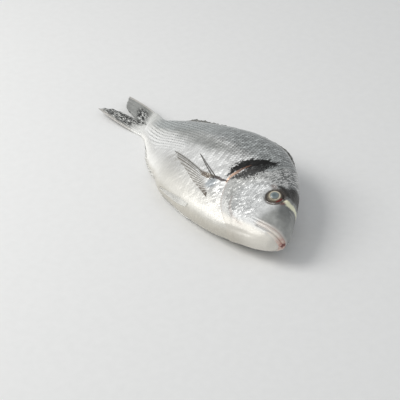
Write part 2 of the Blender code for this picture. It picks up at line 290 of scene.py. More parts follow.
# %% Smooth curves and soft steps
def along(knots, at):
    """Smooth curves through (place, values...) knots, read at one place or an array, with no overshoot."""
    places, *columns = np.array(knots, float).T
    at = np.clip(np.asarray(at, float), places[0], places[-1])
    width = np.diff(places)
    i = np.clip(np.searchsorted(places, at, side="right") - 1, 0, len(width) - 1)
    u = (at - places[i]) / width[i]
    read = []
    for values in columns:
        slope = np.diff(values) / width
        before, after = slope[:-1], slope[1:]
        same_way = before * after > 0
        inner = np.where(same_way, 2 * before * after / np.where(same_way, before + after, 1.0), 0.0)
        tangent = np.concatenate([[slope[0]], inner, [slope[-1]]])
        climb = (1 - u) ** 2 * (1 + 2 * u) * values[i] + u**2 * (3 - 2 * u) * values[i + 1]
        read.append(climb + width[i] * (u * (1 - u) ** 2 * tangent[i] - u**2 * (1 - u) * tangent[i + 1]))
    return read[0] if len(read) == 1 else np.stack(read, axis=-1)


def ease(low, high, value):
    """0 below low, 1 above high, and a smooth rise between them."""
    u = np.clip((np.asarray(value, float) - low) / (high - low), 0.0, 1.0)
    return u * u * (3 - 2 * u)


def bump(value, width):
    """1 at 0, falling smoothly to 0 over about two widths."""
    return np.exp(-((np.asarray(value, float) / width) ** 2))


def lengths_along(*coordinates):
    """How far each point of a line lies from its first one, along the line."""
    steps = np.hypot(*(np.diff(values) for values in coordinates))
    return np.concatenate([[0.0], np.cumsum(steps)])


def unit(vectors):
    return vectors / (np.linalg.norm(vectors, axis=-1, keepdims=True) + 1e-12)


# %% Sections, and how they are laid down
def outline(station):
    """The middle height, half height and half thickness of a station's section."""
    rounding = np.sqrt(1 - (1 - np.clip(station / SNOUT_ROUNDING, 0.0, 1.0)) ** 2)
    back, belly, half = (along(knots, station) * rounding for knots in (BACK, BELLY, HALF_THICKNESS))
    return (back - belly) / 2, (back + belly) / 2, half


def section(station, angle):
    """(height, side) of the skin. Angle 0 is the back, 90 degrees the right flank."""
    middle, half_height, half = outline(station)
    swell = np.abs(np.sin(angle)) ** SECTION_FULLNESS * (1 + BACK_HEAVY * np.cos(angle))
    return middle + half_height * np.cos(angle), half * np.sign(np.sin(angle)) * swell


def angle_at(station, height, side):
    middle, half_height, _ = outline(station)
    return side * np.arccos(np.clip((height - middle) / half_height, -1.0, 1.0))


def laid_down(station, height, side):
    """Where a point of the body, given in shares, is on the fish as it lies on the floor."""
    station, height, side = np.broadcast_arrays(station, height, side)
    step = 0.001
    axis_y, axis_z, roll = np.moveaxis(along(SPINE, station), -1, 0)
    swing = along(SPINE, station - step)[..., 0] - along(SPINE, station + step)[..., 0]
    heading = np.arctan2(swing, 2 * step * STANDARD_LENGTH)
    roll = np.radians(roll)
    across = (height * np.cos(roll) - side * np.sin(roll)) * STANDARD_LENGTH
    up = (height * np.sin(roll) + side * np.cos(roll)) * STANDARD_LENGTH
    x = SNOUT_X - station * STANDARD_LENGTH - across * np.sin(heading)
    y = AXIS_Y + axis_y + across * np.cos(heading)
    return np.stack([x, y, np.maximum(axis_z + up, 0.0)], axis=-1)


print("depth at mid body, mm:", round(float(outline(0.45)[1]) * 2 * STANDARD_LENGTH * 1000, 1))

# %% [markdown]
# ## Relief that the eye can feel
# The bony gill cover ends in a free edge that stands about two millimetres proud, and a shallow
# groove parts it from the cheek. The mouth is a slit between two lips, with the folded jaw bone
# above it, and there are nostrils, an eye socket and soft folds at the throat. Bump in the finish
# could fake them, but here two functions give them in metres over the smooth section, so that the
# mesh itself carries them.

# %% Places on the head
GILL_EDGE = [
    (-0.155, 0.095), (-0.112, 0.160), (-0.090, 0.220), (-0.073, 0.254), (-0.031, 0.296), (0.010, 0.319),
    (0.050, 0.313), (0.085, 0.288), (0.120, 0.262),
]
GILL_STEP = 0.0022
GILL_RISE = 0.12
NAPE_FADE = (0.075, 0.110)
KEEL_FADE = (-0.142, -0.050)
CHEEK_SHARE = 0.70
CHEEK_GROOVE = 0.000225
CHEEK_GROOVE_WIDTH = 0.010
MOUTH_CORNER = (0.084, -0.032)
EYE_AT = (0.151, 0.074)
EYE_RADIUS = 0.0098
SOCKET_RIM = 0.0009
SOCKET_RIM_WIDTH = 0.0024
ORBIT_SLOPE = 0.30
NOSTRILS = [(0.070, 0.083), (0.086, 0.090)]
NOSTRIL_DEPTH = 0.0010
MOUTH_SLIT = 0.0010
JAW_FOLD = 0.00022
JAW_EDGE = 0.00015
SOCKET_GROOVE = 0.0010
SOCKET_GROOVE_AT = 9.8
THROAT_FOLD = 0.0005
THROAT_STATIONS = (0.04, 0.09, 0.17, 0.23)


def mm_between(station, height, place):
    """Millimetres along the skin from a place on the flank, near enough for small marks."""
    return np.hypot(station - place[0], height - place[1]) * STANDARD_LENGTH * 1000


def mm_from_line(station, height, knots):
    """Millimetres outside a line drawn on the flank, whose knots are (station, height, half width in mm)."""
    nearest = np.full(np.shape(station), 1e3)
    scale = STANDARD_LENGTH * 1000
    for (s0, h0, w0), (s1, h1, w1) in zip(knots[:-1], knots[1:]):
        run, climb = s1 - s0, h1 - h0
        share = np.clip(((station - s0) * run + (height - h0) * climb) / (run**2 + climb**2), 0.0, 1.0)
        apart = np.hypot(station - s0 - run * share, height - h0 - climb * share) * scale
        nearest = np.minimum(nearest, apart - w0 - (w1 - w0) * share)
    return nearest


def over_gape(station, height):
    """Millimetres over the line where the lips meet, which drops from the snout to the mouth's corner."""
    return (height - MOUTH_CORNER[1] * station / MOUTH_CORNER[0]) * STANDARD_LENGTH * 1000


# %% The solid's own relief, and the finer relief over it
def cover_fade(height):
    return (1 - ease(*NAPE_FADE, height)) * ease(*KEEL_FADE, height)


def relief(station, height, angle, covered):
    """Metres over the smooth section: gill cover, socket rim and a shallow groove across the cheek."""
    edge = along(GILL_EDGE, height)
    below_nape = 1 - ease(*NAPE_FADE, height)
    cover = GILL_STEP * ease(-GILL_RISE, 0.0, station - edge) * covered * cover_fade(height)
    cheek = CHEEK_GROOVE * bump(station - edge * CHEEK_SHARE, CHEEK_GROOVE_WIDTH) * below_nape
    behind_snout = ease(0.06, 0.10, station)
    from_eye = mm_between(station, height, EYE_AT) / 1000
    on_flanks = ease(0.3, 0.5, np.abs(np.sin(angle)))
    rim = SOCKET_RIM * bump(from_eye - EYE_RADIUS * 1.3, SOCKET_RIM_WIDTH) * on_flanks
    return cover - cheek * behind_snout + rim


def fine_relief(station, height, angle):
    """Metres of finer form: the mouth, jaw folds, nostrils, the eye's socket and the throat's folds."""
    gape = over_gape(station, height)
    mouth = ease(-0.012, 0.0, MOUTH_CORNER[0] - station)
    slit = -MOUTH_SLIT * bump(gape, 0.8) * mouth
    jaw = ease(-0.030, 0.0, 0.100 - station) * ease(0.004, 0.02, station)
    folds = JAW_FOLD * np.cos(gape * 1.9) * bump(gape - 4.0, 3.0) * jaw
    jaw_edge = -JAW_EDGE * bump(gape + 4.4, 0.8) * mouth
    pits = sum(-NOSTRIL_DEPTH * bump(mm_between(station, height, place), 1.1) for place in NOSTRILS)
    from_eye = mm_between(station, height, EYE_AT)
    socket = -SOCKET_GROOVE * bump(from_eye - SOCKET_GROOVE_AT, 1.1)
    orbit = ORBIT_SLOPE * (height - EYE_AT[1]) * STANDARD_LENGTH * bump(from_eye, 11.0)
    throat = ease(*THROAT_STATIONS[:2], station) * (1 - ease(*THROAT_STATIONS[2:], station))
    on_keel = 1 - ease(-0.95, -0.75, np.cos(angle))
    throat_folds = THROAT_FOLD * np.cos((height + station * 0.55) * 190) * throat * on_keel
    return slit + folds + jaw_edge + pits + socket + orbit + throat_folds


# %% [markdown]
# ## Scales, like tiles on a roof
# A scale is a thin round tile, and each overlaps the one behind it, so what shows is its rear arc.
# Rows lie along the body, and every other row is shifted by half a scale. For any point the tile on
# top is the one that starts furthest forward. The same rule is written twice: here with arrays, to
# raise the mesh, and later with nodes, to colour and roughen each scale.

# %% The rule of the tiles
SCALE_LENGTH = [(0.00, 2.4), (0.22, 2.6), (0.40, 3.8), (0.75, 4.2), (1.00, 3.6)]
ROW_WIDTH = [(0.00, 2.2), (0.22, 2.3), (0.40, 3.3), (0.75, 3.8), (1.00, 3.2)]
TILE_REACH = 0.90
TILE_DROP = 0.62
SCALE_RISE = 0.00007


def tiles(u, v):
    """How far a point is ahead of the free edge of the scale on top of it, as a share of a scale."""
    row = np.floor(v)
    choices = []
    for shift in (0, 1):
        across = v - row - shift
        start = ((row + shift) * 0.5) % 1.0
        reach = np.sqrt(TILE_REACH - TILE_DROP * across**2)
        centre = np.ceil(u - reach - start) + start
        choices.append((centre, centre + reach - u))
    (first, to_first), (second, to_second) = choices
    return np.where(first < second, to_first, to_second)


def rows_on_body(station, around_mm):
    """Scales counted from the snout, and rows counted up from the middle of the flank."""
    steps = np.linspace(0.0, 1.0, 400)
    scales = np.diff(steps) * STANDARD_LENGTH * 1000 / along(SCALE_LENGTH, steps[1:])
    counted = np.concatenate([[0.0], np.cumsum(scales)])
    return np.interp(station, steps, counted), around_mm / along(ROW_WIDTH, station)


def scaliness(station, height, angle):
    """1 where scales show plainly, 0 on the bare snout, jaws, eye and cover's rim, and faint on the keel."""
    behind_cover = station - along(GILL_EDGE, height)
    cheek = ease(0.125, 0.15, station) * ease(-0.090, -0.070, height)
    cheek = cheek * (1 - ease(-0.030, -0.012, behind_cover))
    crown = ease(0.15, 0.20, station) * ease(0.08, 0.12, height)
    head = np.maximum(cheek, crown) * ease(11.5, 14.0, mm_between(station, height, EYE_AT))
    belly = 0.25 + 0.75 * ease(-0.85, -0.35, np.cos(angle))
    tail_root = 1 - 0.7 * ease(0.97, 1.0, station)
    return np.maximum(ease(0.0, 0.010, behind_cover), head) * belly * tail_root


# %% [markdown]
# ## The skin
# The skin is one loft of rings. The rings bend to follow the gill cover's edge, so the free edge is
# a clean fold of the mesh, with a small dark pocket under it, and not a blur across square cells.
# The points are spread evenly round the section, a little closer on the flank that faces up, and
# the last rings thin down, so that the tail fin grows out of the tail root without a step.

# %% Points on the laid fish
def pushed_out(station, angle, lift, taper=1.0):
    """Points on the laid fish, lift metres out from its smooth section and thinned by a taper."""
    height, side = section(station, angle)
    _, half_height, half = outline(station)
    lift = lift / STANDARD_LENGTH
    out_height, out_side = np.cos(angle) * half, np.sin(angle) * half_height
    size = np.hypot(out_height, out_side) + 1e-9
    return laid_down(station, height + lift * out_height / size, (side + lift * out_side / size) * taper)


def skin(station, angle, proud=0.0):
    """Points on the laid fish's skin, pushed out by its relief and by proud metres more."""
    height = section(station, angle)[0]
    covered = station < along(GILL_EDGE, height)
    return pushed_out(station, angle, relief(station, height, angle, covered) + proud)


def on_flank(station, height, side=1, proud=0.0):
    return skin(station, angle_at(station, height, side), proud)


def gill_station(angle):
    """Where the gill cover's edge crosses the line along the body at an angle, found by halving."""
    low, high = np.zeros_like(angle), np.full_like(angle, 0.4)
    for _ in range(30):
        station = (low + high) / 2
        beyond = station > along(GILL_EDGE, section(station, angle)[0])
        low, high = np.where(beyond, low, station), np.where(beyond, station, high)
    return (low + high) / 2


def even_angles(points_right, points_left):
    """Angles round the body whose points are evenly spaced on each flank."""
    fine = np.linspace(0.0, np.pi, 2000)
    arc = lengths_along(*section(0.45, fine))
    right = np.interp(np.linspace(0, arc[-1], points_right, endpoint=False), arc, fine)
    left = 2 * np.pi - np.interp(np.linspace(arc[-1], 0, points_left, endpoint=False), arc, fine)
    return np.concatenate([right, left])


# %% A piece of the fish from points and faces
def grid_faces(rows, columns, closed=False, start=0):
    """Quads between rows of points; closed joins the last column to the first."""
    strips = columns if closed else columns - 1
    i, j = np.meshgrid(np.arange(rows - 1), np.arange(strips), indexing="ij")
    here, k = i * columns, (j + 1) % columns
    quads = np.stack([here + j, here + k, here + columns + k, here + columns + j], axis=-1)
    return quads.reshape(-1, 4) + start


def add_piece(name, points, faces, finish, marks, sharp=60.0):
    """A smooth mesh object that rides on the fish, with numbers for its finish carried by each point."""
    mesh = bpy.data.meshes.new(name)
    mesh.from_pydata(points.reshape(-1, 3).tolist(), [], [list(face) for face in faces])
    for mark, numbers in marks.items():
        layer = mesh.attributes.new(mark, "FLOAT_VECTOR", "POINT")
        layer.data.foreach_set("vector", np.asarray(numbers, np.float32).reshape(-1))
    mesh.materials.append(finish)
    mesh.shade_smooth()
    mesh.set_sharp_from_angle(angle=np.radians(sharp))
    mesh.update()
    made = bpy.data.objects.new(name, mesh)
    bpy.context.scene.collection.objects.link(made)
    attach(made, "root")
    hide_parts("sea_bream")
    print(name, "has", sum(len(face) - 2 for face in faces), "triangles")
    return made


# %% [markdown]
# ## Marks for the finish to follow
# A bream is known by its marks: a black blotch behind the gill cover, a golden band before the eyes,
# a red rim on the cover. Each could be painted on an image, but a line or spot drawn on the flank is
# enough: every point of the mesh carries its distance from it, three distances to an attribute.

# %% Lines and spots drawn on the flank
LINES = {
    "blotch": [
        (0.340, 0.008, 1.2), (0.350, 0.036, 4.6), (0.349, 0.064, 6.4), (0.341, 0.088, 7.0),
        (0.326, 0.114, 6.2), (0.306, 0.140, 4.4), (0.290, 0.160, 1.4),
    ],
    "peppered": [
        (0.311, 0.002, 0.8), (0.305, 0.024, 3.4), (0.296, 0.046, 6.4), (0.294, 0.068, 8.2),
        (0.297, 0.090, 8.6), (0.300, 0.116, 6.2), (0.290, 0.146, 3.0),
    ],
    "orange_rim": [
        (0.318, -0.018, 0.4), (0.326, -0.002, 1.5), (0.331, 0.020, 2.1), (0.332, 0.044, 1.5),
        (0.332, 0.066, 0.8), (0.329, 0.088, 0.3),
    ],
    "golden_band": [(0.124, 0.089, 1.6), (0.113, 0.092, 2.8), (0.103, 0.100, 3.0), (0.102, 0.113, 2.4)],
    "glints": [
        (0.262, 0.108, 2.0), (0.266, 0.138, 3.0), (0.240, 0.160, 3.6), (0.206, 0.158, 4.4),
        (0.204, 0.136, 3.4),
    ],
    "crease": [
        (0.444, -0.052, 0.5), (0.420, -0.050, 2.4), (0.396, -0.044, 2.6), (0.376, -0.034, 1.7),
        (0.360, -0.026, 1.5), (0.342, -0.022, 1.3), (0.322, -0.012, 0.7),
    ],
    "cheek_bone": [
        (0.246, -0.034, 0.2), (0.226, -0.053, 0.6), (0.206, -0.066, 0.8), (0.184, -0.074, 0.8),
        (0.152, -0.074, 0.5), (0.128, -0.068, 0.2),
    ],
    "brown_patch": [
        (0.178, 0.110, 1.6), (0.158, 0.115, 4.6), (0.138, 0.120, 5.0), (0.146, 0.138, 6.6),
        (0.160, 0.152, 4.6),
    ],
    "smudge": [
        (0.800, 0.040, 2.0), (0.720, 0.036, 8.0), (0.640, 0.036, 10.0), (0.560, 0.048, 10.0),
        (0.500, 0.062, 6.5), (0.430, 0.092, 2.5),
    ],
}
SPOTS = {
    "from_eye": EYE_AT,
    "blood": (0.116, 0.078),
    "brow": (0.190, 0.095),
    "snout_smudge": (0.066, 0.062),
    "fin_root": (0.362, -0.055),
}
MARKS = {
    "place": ("station", "height", "high"),
    "scale_rows": ("count", "row", "scaly"),
    "head_marks": ("behind_cover", "from_eye", "gape"),
    "dark_marks": ("blotch", "brown_patch", "crease"),
    "light_marks": ("golden_band", "glints", "cheek_bone"),
    "small_marks": ("blood", "peppered", "fin_root"),
    "rim_marks": ("orange_rim", "brow", "snout_smudge"),
    "more_marks": ("nostril", "fading", "smudge"),
}


def skin_marks(station, height, angle, around_mm):
    """The numbers that each point of the skin carries for its finish, three to an attribute."""
    numbers = {name: mm_from_line(station, height, line) for name, line in LINES.items()}
    numbers |= {name: mm_between(station, height, place) for name, place in SPOTS.items()}
    count, row = rows_on_body(station, around_mm)
    numbers |= {
        "station": station,
        "height": height,
        "high": np.cos(angle),
        "count": count,
        "row": row,
        "scaly": scaliness(station, height, angle),
        "behind_cover": (station - along(GILL_EDGE, height)) * STANDARD_LENGTH * 1000,
        "gape": over_gape(station, height),
        "nostril": np.minimum(*(mm_between(station, height, place) for place in NOSTRILS)),
        "fading": cover_fade(height),
    }
    return {mark: np.stack([numbers[name] for name in names], axis=-1) for mark, names in MARKS.items()}


print(len(LINES), "lines and", len(SPOTS), "spots are drawn on the flank")

# %% Rings of the skin
NOSE_RINGS = 112
TRUNK_RINGS = 208
POINTS_RIGHT = 170
POINTS_LEFT = 124
BEFORE_EDGE = 0.15
BEHIND_EDGE = 0.9
FIRST_RING_SUNK = 0.0003
# Rings of the fold at the cover's edge: mm behind it, mm tucked under it, metres sunk, part of the cover.
GILL_FOLD = [(0.0, 0.0, 0.0008, True), (0.05, 1.5, 0.0006, False), (0.4, 0.3, 0.0005, False)]


def skin_grid():
    """The rings' stations, their angles, whether each is part of the gill cover, and how far it is sunk."""
    angle = even_angles(POINTS_RIGHT, POINTS_LEFT)
    gill = gill_station(angle)
    fade = cover_fade(section(gill, angle)[0])
    mm = 0.001 / STANDARD_LENGTH
    nose_share = 1 - np.cos(np.linspace(0, np.pi / 2, NOSE_RINGS))
    nose_share = 0.6 * nose_share + 0.4 * np.linspace(0, 1, NOSE_RINGS)
    rings = [(share * (gill - BEFORE_EDGE * mm), 0.0 * gill, True) for share in nose_share[1:]]
    for offset, tucked, depth, cover in GILL_FOLD:
        rings.append((gill + offset * mm - tucked * mm * fade, -depth * fade, cover))
    first, last = gill + BEHIND_EDGE * mm, 1.0 - TAIL_ROOT_LEAN * (1 - np.cos(angle))
    for share in np.linspace(0, 1, TRUNK_RINGS):
        rings.append((first + share * (last - first), -FIRST_RING_SUNK * fade * (share == 0), False))
    stations, sunk, on_cover = (np.array(column) for column in zip(*rings))
    return stations, angle, on_cover[:, None], sunk


def mm_round(stations, angles):
    """Millimetres round each ring, counted up from the middle of its flank."""
    from_back = np.where(angles > np.pi, 2 * np.pi - angles, angles)
    flank = np.linspace(0, np.pi, 200)
    around = np.empty(stations.shape)
    for ring, station in enumerate(stations.mean(axis=1)):
        arc = lengths_along(*section(station, flank)) * STANDARD_LENGTH * 1000
        around[ring] = arc[len(arc) // 2] - np.interp(from_back[ring], flank, arc)
    return around


# %% Loft the skin
TAIL_TAPER = 0.055
TAIL_THINNING = 0.64


def loft_skin(finish):
    stations, angle, on_cover, sunk = skin_grid()
    angles = np.broadcast_to(angle, stations.shape)
    height = section(stations, angles)[0]
    marks = skin_marks(stations, height, angles, mm_round(stations, angles))
    count, row, scaly = np.moveaxis(marks["scale_rows"], -1, 0)
    lift = relief(stations, height, angles, on_cover) + fine_relief(stations, height, angles)
    lift = lift + SCALE_RISE * (1 - tiles(count, row)) * scaly + sunk
    taper = 1 - TAIL_THINNING * ease(1 - TAIL_TAPER, 1.0, stations)
    rings, columns = stations.shape
    faces = grid_faces(rings, columns, closed=True)[:, ::-1].tolist()
    faces.append(list(range(columns)))
    faces.append(list(range((rings - 1) * columns, rings * columns))[::-1])
    return add_piece("skin", pushed_out(stations, angles, lift, taper), faces, finish, marks, sharp=55.0)


# %% [markdown]
# ## The finish of the skin
# Bream skin is layered: a white or grey ground, a mirror-like film under each scale that gives the
# silver, dark pigment on the back and over the gill cover, and a wet coat over all. The colour is
# built up as a painter would lay it: large areas with painted light and shade on the flank and keel,
# then single scales with painted glints on some, then the head's marks, and last painted glints and
# grey speckle with painted shade on the head. Black skin gets a high metallic value, which spares it
# the pale gloss of the rest.

# %% Scales as nodes
SECOND_THROW = 371


def scale_nodes(finish, count, row):
    """The rule of the tiles again: how far ahead of the free edge and across, and two random numbers."""
    whole_row = row.maths("FLOOR")
    choices = []
    for shift in (0, 1):
        this_row = whole_row + shift
        across = row - this_row
        start = (this_row * 0.5).maths("FRACT")
        reach = (TILE_REACH - TILE_DROP * across * across).maths("SQRT")
        centre = (count - reach - start).maths("CEIL") + start
        thrown = []
        for aside in (0, SECOND_THROW):
            at = [(centre * 2).maths("ROUND") + aside, this_row.maths("ROUND")]
            at = finish.node("ShaderNodeCombineXYZ", None, at)
            thrown.append(finish.node("ShaderNodeTexWhiteNoise", {"noise_dimensions": "2D"}, {"Vector": at}))
        choices.append((centre, centre + reach - count, across, *thrown))
    first, second = choices
    on_first = first[0] < second[0]
    return [one * on_first + other * (1 - on_first) for one, other in zip(first[1:], second[1:])]


# %% The numbers that the finish works from
def skin_numbers(skin):
    """The mesh's own marks by name, noises about 0, and the scale at each place."""
    on = SimpleNamespace()
    for mark, names in MARKS.items():
        for name, number in zip(names, skin.marked(mark)):
            setattr(on, name, number)
    on.cloud = skin.noise(14.0, detail=3.0) - 0.5
    on.fine_cloud = skin.noise(2.6, detail=3.0) - 0.5
    on.speck = (skin.noise(1.1) - 0.5) * 2
    on.crackle = (skin.noise(1.9, detail=3.0) - 0.5) * 2
    along_body, round_body, _ = skin.parts(skin.noise(3.846, out="Color"))
    count, row = on.count + (along_body - 0.5) * 0.6, on.row + (round_body - 0.5) * 0.4
    on.ahead, on.across, on.dice, on.lean = scale_nodes(skin, count, row)
    # Scales picked here get a painted glint: a brighter colour in the finish, and a smoother surface
    on.silver = (on.dice * on.scaly).rise(0.60, 0.92) * on.ahead.rise(0.15, 0.35)
    on.head = on.behind_cover.fall(-3.0, 1.0) * on.gape.rise(2.0, 6.0)
    on.head = on.head * (on.station + on.cloud * 0.02).rise(0.100, 0.135)
    return on


# %% Ground colours of the body
SILVER_WHITE = paint(220, 220, 218)
BACK_GREY = paint(154, 158, 157)
SMUDGE_GREY = paint(124, 127, 122)
CREAM = paint(214, 211, 202)
TAIL_STOCK_GREY = paint(192, 192, 188)


def body_colour(skin, on, cloud):
    """White flank with painted light along its middle and painted shade lower down, grey back with a darker
    smudge, and cream belly.
    """
    station, high = on.station, on.high
    tail_stock = station.rise(0.60, 0.95) * (high + cloud * 0.4).rise(-0.5, 0.3)
    belly = high.fall(-0.85, -0.35) * (0.8 - station.rise(0.50, 0.75) * 0.5)
    white = skin.coats(SILVER_WHITE, (TAIL_STOCK_GREY, tail_stock), (CREAM, belly))
    # lit is painted light, a brighter band along the middle of the flank; shaded is painted shade on the
    # lower flank
    lit = (high + cloud * 0.2).near(-0.16, 0.36) * station.fall(0.52, 0.66) * 0.13
    shaded = high.near(-0.60, 0.34) * (1 - station.near(0.46, 0.14) * 0.7) * 0.21
    back = (high + cloud * 0.30 + station.rise(0.55, 0.95) * 0.16).rise(0.22, 0.52) * 0.92
    back = back * (1 - station.rise(0.90, 0.98) * 0.75)
    grey = skin.blend(skin.brighten(white, 1 + lit - shaded), BACK_GREY, back)
    grey = skin.brighten(grey, 1 + station.rise(0.50, 0.85) * 0.30)
    return skin.blend(grey, SMUDGE_GREY, (on.smudge + cloud * 14).fall(-8.0, 8.0) * 0.66)


# %% Ground colours of the head
COVER_SILVER = paint(178, 178, 175)
CHEEK_SILVER = paint(188, 189, 188)
SNOUT_GREY = paint(146, 147, 144)
CHIN_CREAM = paint(214, 210, 201)
CROWN_DARK = paint(88, 91, 90)


def head_colour(skin, on, cloud):
    """Silver cheek and cover, grey snout, cream chin, painted shade low on the head, and dark crown."""
    cover = skin.blend(CHEEK_SILVER, COVER_SILVER, on.behind_cover.rise(-26.0, -12.0))
    cover = skin.brighten(cover, 1 + on.height.rise(-0.04, 0.06) * 0.46)
    snout = (on.station - cloud * 0.02).fall(0.085, 0.130) * on.gape.rise(3.0, 8.0)
    chin = (on.gape + cloud * 4.0).fall(-6.0, 0.0)
    # throat is painted shade: the lower head and chin darkened a little
    throat = on.height.fall(-0.075, -0.035) * on.station.rise(0.07, 0.12)
    crown = (on.high + cloud * 0.35).rise(0.30, 0.55) * on.station.rise(0.04, 0.10)
    pale = skin.coats(cover, (SNOUT_GREY, snout), (CHIN_CREAM, chin))
    return skin.blend(skin.brighten(pale, 1 - throat * 0.09), CROWN_DARK, crown * 0.8)


# %% Patches and lines of the head
PATCH_BROWN = paint(46, 43, 39)
SOCKET_BROWN = paint(88, 78, 70)
BAND_CREAM = paint(248, 246, 214)
JAW_PALE = paint(198, 189, 180)
JAW_PINK = paint(184, 144, 132)
BLOOD_RED = paint(104, 44, 36)
BLOTCH_BLACK = paint(22, 21, 20)
RIM_ORANGE = paint(126, 88, 68)
RIM_SALMON = paint(226, 186, 158)
GILL_GREY = paint(158, 140, 132)
BROW_BROWN = paint(112, 82, 68)
# Painted shade on the snout, darker towards its far edge
SNOUT_SHADE = paint(116, 118, 115)
GILL_PINK = paint(190, 150, 134)
CREASE_RED = paint(54, 32, 28)
CREASE_BROWN = paint(116, 101, 80)
# White painted glints on the brown web behind the gill cover
CREASE_GLINT_WHITE = paint(226, 222, 214)


def head_details(skin, on, colour, cloud):
    """The patches and lines laid one over the other, and how black each place is."""
    station, gape, crackle, speck, dice = on.station, on.gape, on.crackle, on.speck, on.dice
    jaw_lines = (gape * 0.35 + speck * 0.3).maths("FRACT").near(0.5, 0.3) * gape.near(3.2, 4.0)
    brown = (on.brown_patch + crackle * 3.0 + speck * 2.0 + cloud * 5.0).fall(-2.4, 2.6)
    colour = skin.coats(
        colour,
        # painted shade on the upper snout
        (SNOUT_SHADE, (on.snout_smudge + cloud * 6).fall(3.0, 16.0) * 0.30),
        (JAW_PALE, (gape + cloud * 1.5).near(3.0, 6.0) * station.fall(0.085, 0.110) * 0.9),
        (JAW_PINK, jaw_lines * station.fall(0.02, 0.09) * 0.55),
        (PATCH_BROWN, brown * 0.94),
        (BAND_CREAM, (on.golden_band + cloud * 1.8 + crackle * 1.6).fall(-1.3, 1.2)),
        (SNOUT_GREY, on.nostril.fall(0.7, 1.6) * 0.85),
        (GILL_GREY, (on.cheek_bone + crackle * 0.8).fall(-0.6, 1.2) * 0.36),
        (BROW_BROWN, (on.brow + cloud * 3.0).fall(1.0, 4.5) * 0.6),
        (BLOOD_RED, (on.blood + cloud * 2.0).fall(1.6, 4.0) * 0.8),
        (SOCKET_BROWN, (on.from_eye + cloud * 1.5).fall(9.4, 10.8) * 0.9),
        (GILL_PINK, on.behind_cover.near(-0.6, 1.1) * on.blotch.rise(2.0, 6.0) * on.fading * 0.34),
    )
    pepper = crackle + speck * 0.7 + (dice - 0.5) * 0.25 - (on.peppered + cloud * 5.0) * 0.10
    ink = on.blotch + speck * 4.0 + crackle * 3.6 + cloud * 3.0 + (dice - 0.5) * 3.0
    dark = ink.fall(-1.4, 2.2).maths("MAXIMUM", pepper.rise(-0.14, 0.12) * 0.93)
    rim = (on.orange_rim + crackle + speck * 0.6).fall(-0.5, 0.7)
    rim_colour = skin.blend(RIM_SALMON, RIM_ORANGE, (on.height + (cloud + speck) * 0.02).rise(0.016, 0.056))
    crease_colour = skin.coats(
        CREASE_RED,
        (CREASE_BROWN, (station + cloud * 0.02).rise(0.368, 0.395)),
        # painted glints on the brown web
        (CREASE_GLINT_WHITE, (crackle + speck * 0.8).rise(0.06, 0.26) * station.rise(0.370, 0.395)),
    )
    colour = skin.coats(
        colour,
        (BLOTCH_BLACK, dark * 0.97),
        (rim_colour, rim * 0.92),
        (crease_colour, (on.crease + crackle * 0.8).fall(-0.3, 0.9) * 0.9),
    )
    return colour, (dark * (1 - rim)).maths("MAXIMUM", brown * 0.55 * on.golden_band.rise(0.0, 1.0))


# %% Colours of single scales
# The beige of the painted shade along the keel, also used for faint wrinkle streaks on the belly
KEEL_SHADE_BEIGE = paint(164, 157, 141)
DASH_GREY = paint(84, 86, 85)


def scaled(skin, on, colour):
    """A shade for each scale, dark free edges and rows, painted glints on some, and rows of dashes at the
    rear.
    """
    station, high, ahead, scaly = on.station, on.high, on.ahead, on.scaly
    darkness = high.rise(-0.15, 0.40) * 0.75 + 0.25
    rear = (high + on.cloud * 0.25 + station.rise(0.6, 0.9) * 0.25).rise(-0.55, 0.0)
    rear = (station + on.cloud * 0.06).rise(0.54, 0.70) * rear
    off_row = on.across.maths("ABSOLUTE")
    # edge_line darkens each scale's free edge: partly the scales' own dark rims, partly painted shadow of the
    # overlap
    edge_line = ahead.fall(0.05, 0.26) * scaly * darkness * (1 - rear * 0.7)
    row_line = off_row.rise(0.24, 0.50) * scaly * darkness * on.behind_cover.rise(0.0, 8.0) * (1 - rear)
    shade = (on.dice - 0.5) * scaly * (0.20 + 0.46 * darkness) * (1 - rear * 0.5)
    shade = shade - edge_line * 0.50 - row_line * 0.30
    # the tint adds a painted glint on the picked scales
    tint = 1.12 + shade + on.silver * 0.26 + on.speck * 0.12 + on.cloud * 0.14
    dashes = ahead.rise(0.04, 0.14) * ahead.fall(0.45, 0.90) * off_row.fall(0.04, 0.36)
    dashes = dashes * (0.35 + on.dice * 0.65) * station.fall(0.90, 0.98) * rear * scaly
    wrinkles = (skin.noise(3.2) - 0.48).near(0.0, 0.06) * station.near(0.60, 0.09) * high.near(-0.45, 0.35)
    colour = skin.brighten(colour, tint)
    return skin.coats(colour, (DASH_GREY, dashes * 0.92), (KEEL_SHADE_BEIGE, wrinkles * 0.55))


# %% Painted glints and grey speckle on the head
# Grey speckle of the skin with painted shade between the glints, and white painted glints
SPECKLE_AND_SHADE_GREY = paint(112, 113, 111)
GLINT_WHITE = paint(242, 242, 240)
FIN_ROOT_BLUE = paint(148, 155, 160)


